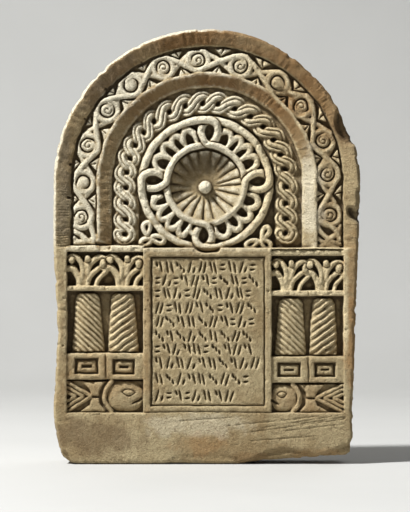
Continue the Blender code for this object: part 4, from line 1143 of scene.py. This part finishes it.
def tooled_back(edge, ring):
    """The back inside the last ring of the sides, from that ring's points and their numbers."""
    x, z = np.meshgrid(np.arange(-RADIUS, RADIUS, BACK_CELL), np.arange(0.004, HEIGHT, BACK_CELL))
    x = x + 0.25 * BACK_CELL * noise(x, 3, z, 0.004)
    distance, _ = relief.near(edge[::4][:, [0, 2]], x, z, True)
    within = inside(x, z, edge[:, [0, 2]]) & (distance > BACK_CELL * 0.8)
    x, z = x[within], z[within]
    tooled = 0.0009 * (1 + noise(x * 0.25 + z * 0.25, 4, z - x, 0.0075))
    tooled = (tooled + 0.0006 * (1 + fractal(x, 5, z, 0.05))) * smooth(distance[within] / 0.02)
    plan = np.vstack([edge[:, [0, 2]], np.column_stack([x, z])])
    count = len(edge)
    seam = [(i, (i + 1) % count) for i in range(count)]
    vertices, _, faces, *_ = delaunay_2d_cdt([tuple(p) for p in plan], seam, [list(range(count))], 1, 1e-7)
    if len(vertices) != len(plan):
        raise ValueError("the back's triangulation added or dropped points")
    number = np.concatenate([ring, ring[-1] + 1 + np.arange(len(x))])
    return np.column_stack([x, THICKNESS / 2 - tooled, z]), number[np.array(faces)]


def stele_mesh():
    """The slab's points and triangles, the face's tones, and how many of the points are on the face."""
    outline = chipped_outline(resampled(slab_outline(), OUTLINE_STEP))
    tones = face_tones()
    rolled = smooth(round_edges(outline) * 4)
    # painted highlight along the slab's rolled outline, on its left side, towards the light
    tones["hollow"] = tones["hollow"] - 0.0035 * rolled * smooth((0.10 - GRID_X) / 0.16)
    points, triangles = face_mesh(outline)
    side_points, side_triangles, ring = walls(points, rim_loop(triangles))
    back_points, back_triangles = tooled_back(side_points[-len(ring):], ring)
    return (np.vstack([points, side_points, back_points]),
            np.vstack([triangles, side_triangles, back_triangles]), tones, len(points))


def build_stele():
    arch_bands()
    scroll_frieze()
    guilloche()
    wreath()
    rosette()
    trefoils()
    tablet()
    side_panels()
    unsteady()
    chipped()
    damage()
    weather()
    points, triangles, tones, face_count = stele_mesh()
    points[:, 0] = np.clip(points[:, 0], LOW[0], HIGH[0])
    points[:, 1] = np.clip(points[:, 1], LOW[1], HIGH[1])
    points[:, 2] = np.clip(points[:, 2], LOW[2], HIGH[2])
    piece = mesh_object("stele_stone", points, triangles)
    mesh = piece.data
    mesh.polygons.foreach_set("use_smooth", np.ones(len(triangles), bool))
    mesh.validate()
    ragged = 0.008 * noise(points[:, 0], points[:, 1], points[:, 2], 0.014)
    on_face = 1 - smooth((points[:, 1] + THICKNESS / 2 - 0.012 + ragged) / 0.016)
    on_face[:face_count] = 1
    for name, tone in tones.items():
        attribute = mesh.attributes.new(name, "FLOAT", "POINT")
        value = on_face * sampled(tone, points[:, 0], points[:, 2])
        attribute.data.foreach_set("value", value.astype(np.float32))
    mesh.materials.append(limestone())
    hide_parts("stele")
    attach(piece, "root")


# Materials
class Graph:
    """Short calls for building a material's nodes."""

    def __init__(self, name):
        self.material = bpy.data.materials.new(name)
        self.material.use_nodes = True
        self.nodes = self.material.node_tree.nodes
        self.links = self.material.node_tree.links
        self.shader = self.nodes["Principled BSDF"]

    def new(self, kind, **settings):
        node = self.nodes.new(kind)
        for name, value in settings.items():
            setattr(node, name, value)
        return node

    def feed(self, socket, value):
        if isinstance(value, bpy.types.NodeSocket):
            self.links.new(value, socket)
        else:
            socket.default_value = value

    def noise(self, scale, detail=4.0, rough=0.55, vector=None, distortion=0.0):
        node = self.new("ShaderNodeTexNoise")
        self.feed(node.inputs["Scale"], scale)
        self.feed(node.inputs["Detail"], detail)
        self.feed(node.inputs["Roughness"], rough)
        self.feed(node.inputs["Distortion"], distortion)
        if vector:
            self.feed(node.inputs["Vector"], vector)
        return node.outputs["Fac"]

    def math(self, operation, a, b=0.0, clamp=False):
        node = self.new("ShaderNodeMath", operation=operation, use_clamp=clamp)
        self.feed(node.inputs[0], a)
        self.feed(node.inputs[1], b)
        return node.outputs[0]

    def span(self, value, low, high, to_low=0.0, to_high=1.0):
        node = self.new("ShaderNodeMapRange", interpolation_type="SMOOTHSTEP")
        self.feed(node.inputs["Value"], value)
        ends = (("From Min", low), ("From Max", high), ("To Min", to_low), ("To Max", to_high))
        for name, number in ends:
            self.feed(node.inputs[name], number)
        return node.outputs["Result"]

    def mix(self, share, a, b, blend="MIX"):
        node = self.new("ShaderNodeMix", data_type="RGBA", blend_type=blend)
        self.feed(node.inputs[0], share)
        self.feed(node.inputs[6], a)
        self.feed(node.inputs[7], b)
        return node.outputs[2]

    def value(self, name):
        return self.new("ShaderNodeAttribute", attribute_name=name).outputs["Fac"]


CREAM = (0.430, 0.350, 0.200, 1)
TAN = (0.305, 0.222, 0.110, 1)
OCHRE = (0.330, 0.185, 0.070, 1)
# a near-black for grime and painted shade in the recesses
GRIME_AND_SHADE = (0.045, 0.030, 0.015, 1)
UMBER = (0.150, 0.098, 0.048, 1)
BROWN = (0.190, 0.098, 0.033, 1)
GREY = (0.190, 0.165, 0.115, 1)
PALE = (0.800, 0.740, 0.570, 1)
STRAW = (0.760, 0.640, 0.400, 1)

# Stains, and one painted highlight: where in the photo, how wide and tall, how strong, and the colour
STAINS_AND_HIGHLIGHT_PX = (
    (318, 108, 30, 40, 0.45, OCHRE), (287, 105, 20, 16, 0.9, OCHRE), (352, 345, 12, 60, 0.8, OCHRE),
    (345, 128, 12, 18, 0.95, UMBER), (352, 270, 12, 40, 0.5, OCHRE), (60, 190, 16, 80, 0.7, GREY),
    (108, 84, 44, 38, 0.85, GREY), (96, 438, 52, 22, 0.75, UMBER), (200, 444, 30, 14, 0.6, OCHRE),
    (250, 458, 26, 8, 0.5, BROWN), (80, 260, 20, 14, 0.3, UMBER), (320, 454, 40, 7, 0.5, OCHRE),
    (70, 330, 10, 90, 0.35, UMBER), (147, 330, 6, 90, 0.6, OCHRE), (105, 375, 46, 30, 0.35, OCHRE),
    (308, 400, 44, 22, 0.4, OCHRE), (135, 325, 12, 34, 0.6, OCHRE), (305, 432, 56, 20, 0.60, CREAM),
    # the pale patch at (312, 196) is a painted highlight on the inner band's right side, which faces the
    # light
    (200, 426, 62, 14, 0.30, PALE), (312, 196, 13, 74, 0.60, PALE), (148, 330, 7, 80, 0.45, TAN),
    (205, 330, 60, 76, 0.35, CREAM),
)


def limestone():
    g = Graph("limestone")
    place = g.new("ShaderNodeNewGeometry").outputs["Position"]
    split = g.new("ShaderNodeSeparateXYZ")
    g.feed(split.inputs[0], place)
    x, _, z = split.outputs
    hollow, deep, pale, brown = g.value("hollow"), g.value("deep"), g.value("pale"), g.value("brown")
    broad = g.noise(9.0, 5.0, 0.6, place)
    fine = g.noise(90.0, 6.0, 0.65, place)
    grain = g.noise(650.0, 3.0, 0.6, place)
    colour = g.mix(g.span(broad, 0.38, 0.66), CREAM, TAN)
    colour = g.mix(g.math("MULTIPLY", g.span(fine, 0.45, 0.75), 0.45), colour, UMBER)
    for sx, sy, wide, tall, strength, tone in STAINS_AND_HIGHLIGHT_PX:
        (px_x, px_z), = px((sx, sy))
        dx = g.math("DIVIDE", g.math("SUBTRACT", x, float(px_x)), wide * PIXEL)
        dz = g.math("DIVIDE", g.math("SUBTRACT", z, float(px_z)), tall * PIXEL)
        away = g.math("ADD", g.math("MULTIPLY", dx, dx), g.math("MULTIPLY", dz, dz))
        patchy = g.math("ADD", away, g.span(g.noise(34.0, 4.0, 0.6, place), 0.3, 0.7, -0.5, 0.5))
        colour = g.mix(g.span(patchy, 1.1, 0.15, 0.0, strength), colour, tone)
    # brown stains, and painted shade on the inner band's upper part
    colour = g.mix(brown, colour, BROWN)
    # ridges and the tablet's stroke edges turn pale: partly worn stone, partly painted highlight
    rubbed_and_highlit = g.math("MULTIPLY", pale, g.span(fine, 0.30, 0.62, 0.98, 0.66))
    warm = g.math("MAXIMUM", g.span(x, 0.02, 0.13), g.span(z, 0.42, 0.37))
    light = g.mix(warm, PALE, STRAW)
    colour = g.mix(rubbed_and_highlit, colour, light)
    # darker with depth and in hollows: partly grime in the hollows, partly painted shade in the recesses
    depth_grime_and_shade = g.span(deep, 0.016, 0.029, 0.0, 0.68)
    hollow_grime_and_shade = g.span(hollow, 0.0002, 0.0034, 0.0, 0.95)
    grime_and_shade = g.math("MAXIMUM", depth_grime_and_shade, hollow_grime_and_shade)
    grime_and_shade = g.math("MULTIPLY", grime_and_shade, g.span(fine, 0.2, 0.6, 0.72, 1.0), clamp=True)
    colour = g.mix(grime_and_shade, colour, GRIME_AND_SHADE)
    # painted highlight: proud edges and the slab's rolled left outline turn pale, more so above the panels
    edges = g.math("MULTIPLY", g.span(hollow, -0.0004, -0.0030), g.span(z, 0.37, 0.43, 0.20, 0.80))
    colour = g.mix(edges, colour, light)
    colour = g.mix(g.math("MULTIPLY", g.span(grain, 0.35, 0.65), 0.20), colour, TAN)
    specks = g.span(g.noise(210.0, 3.0, 0.6, place), 0.57, 0.70, 0.0, 0.60)
    colour = g.mix(specks, colour, UMBER)
    mottle = g.span(g.noise(430.0, 4.0, 0.75, place), 0.46, 0.68, 0.0, 0.45)
    colour = g.mix(mottle, colour, UMBER)
    g.feed(g.shader.inputs["Base Color"], colour)
    g.feed(g.shader.inputs["Roughness"], g.span(fine, 0.3, 0.7, 0.80, 0.96))
    g.shader.inputs["Specular IOR Level"].default_value = 0.25
    pores = g.new("ShaderNodeTexVoronoi", feature="F1")
    g.feed(pores.inputs["Vector"], place)
    pores.inputs["Scale"].default_value = 240.0
    grit = g.noise(270.0, 4.0, 0.7, place)
    height = g.math("ADD", g.math("MULTIPLY", fine, 0.8), g.math("MULTIPLY", grain, 0.25))
    height = g.math("ADD", height, g.math("MULTIPLY", grit, 1.3))
    height = g.math("SUBTRACT", height, g.span(pores.outputs["Distance"], 0.30, 0.05, 0.0, 0.35))
    bump = g.new("ShaderNodeBump")
    bump.inputs["Strength"].default_value = 0.8
    bump.inputs["Distance"].default_value = 0.0030
    g.feed(bump.inputs["Height"], height)
    g.feed(g.shader.inputs["Normal"], bump.outputs["Normal"])
    return g.material


def floor_material():
    g = Graph("pale_floor")
    place = g.new("ShaderNodeNewGeometry").outputs["Position"]
    colour = g.mix(g.noise(3.0, 3.0, 0.5, place), (0.42, 0.42, 0.405, 1), (0.46, 0.46, 0.445, 1))
    g.feed(g.shader.inputs["Base Color"], colour)
    g.shader.inputs["Roughness"].default_value = 0.75
    return g.material


# The studio
def studio():
    """A pale floor that sweeps up behind the slab, a key light from the upper left and a weak fill."""
    steps = 24
    sweep = [(2.2 + 1.6 * math.sin(a), 1.6 - 1.6 * math.cos(a)) for a in np.linspace(0, math.pi / 2, steps)]
    profile = [(-6.0, 0.0)] + sweep + [(3.8, 6.0)]
    wide = 9.0
    vertices = [(side * wide, y, z) for y, z in profile for side in (-1, 1)]
    faces = [(2 * i, 2 * i + 1, 2 * i + 3, 2 * i + 2) for i in range(len(profile) - 1)]
    mesh = bpy.data.meshes.new("floor")
    mesh.from_pydata(vertices, [], faces)
    mesh.polygons.foreach_set("use_smooth", [True] * len(faces))
    floor = bpy.data.objects.new("floor", mesh)
    bpy.context.scene.collection.objects.link(floor)
    mesh.materials.append(floor_material())
    for name, place, aim, size, power in (
        ("key", (-2.50, -1.45, 4.35), (0.0, 0.0, 0.42), 0.40, 550.0),
        ("fill", (2.4, -3.2, 1.4), (0.0, 0.0, 0.4), 2.4, 2.0),
        ("back", (1.5, 2.4, 2.6), (0.0, 0.0, 0.4), 2.0, 26.0),
    ):
        data = bpy.data.lights.new(name, "AREA")
        data.energy = power
        data.shape = "SQUARE"
        data.size = size
        lamp = bpy.data.objects.new(name, data)
        lamp.location = place
        lamp.rotation_euler = (Vector(aim) - Vector(place)).to_track_quat("-Z", "Y").to_euler()
        bpy.context.scene.collection.objects.link(lamp)
    world = bpy.data.worlds.new("studio")
    world.use_nodes = True
    world.node_tree.nodes["Background"].inputs["Color"].default_value = (1.0, 1.0, 1.0, 1.0)
    world.node_tree.nodes["Background"].inputs["Strength"].default_value = 0.09
    bpy.context.scene.world = world
    bpy.context.scene.view_settings.view_transform = "Standard"


PICTURE_PX = (410, 512)
CAMERA_DISTANCE = 4.2


def camera():
    """Square to the slab, at the photo's scale."""
    data = bpy.data.cameras.new("camera")
    data.sensor_fit = "VERTICAL"
    data.sensor_height = 24.0
    data.lens = data.sensor_height * CAMERA_DISTANCE / (PICTURE_PX[1] * PIXEL)
    data.clip_end = 50.0
    shot = bpy.data.objects.new("camera", data)
    (x, z), = px((PICTURE_PX[0] / 2, PICTURE_PX[1] / 2))
    shot.location = (x, -THICKNESS / 2 - CAMERA_DISTANCE, z)
    shot.rotation_euler = (math.radians(90), 0, 0)
    bpy.context.scene.collection.objects.link(shot)
    bpy.context.scene.camera = shot


build_stele()
studio()
camera()
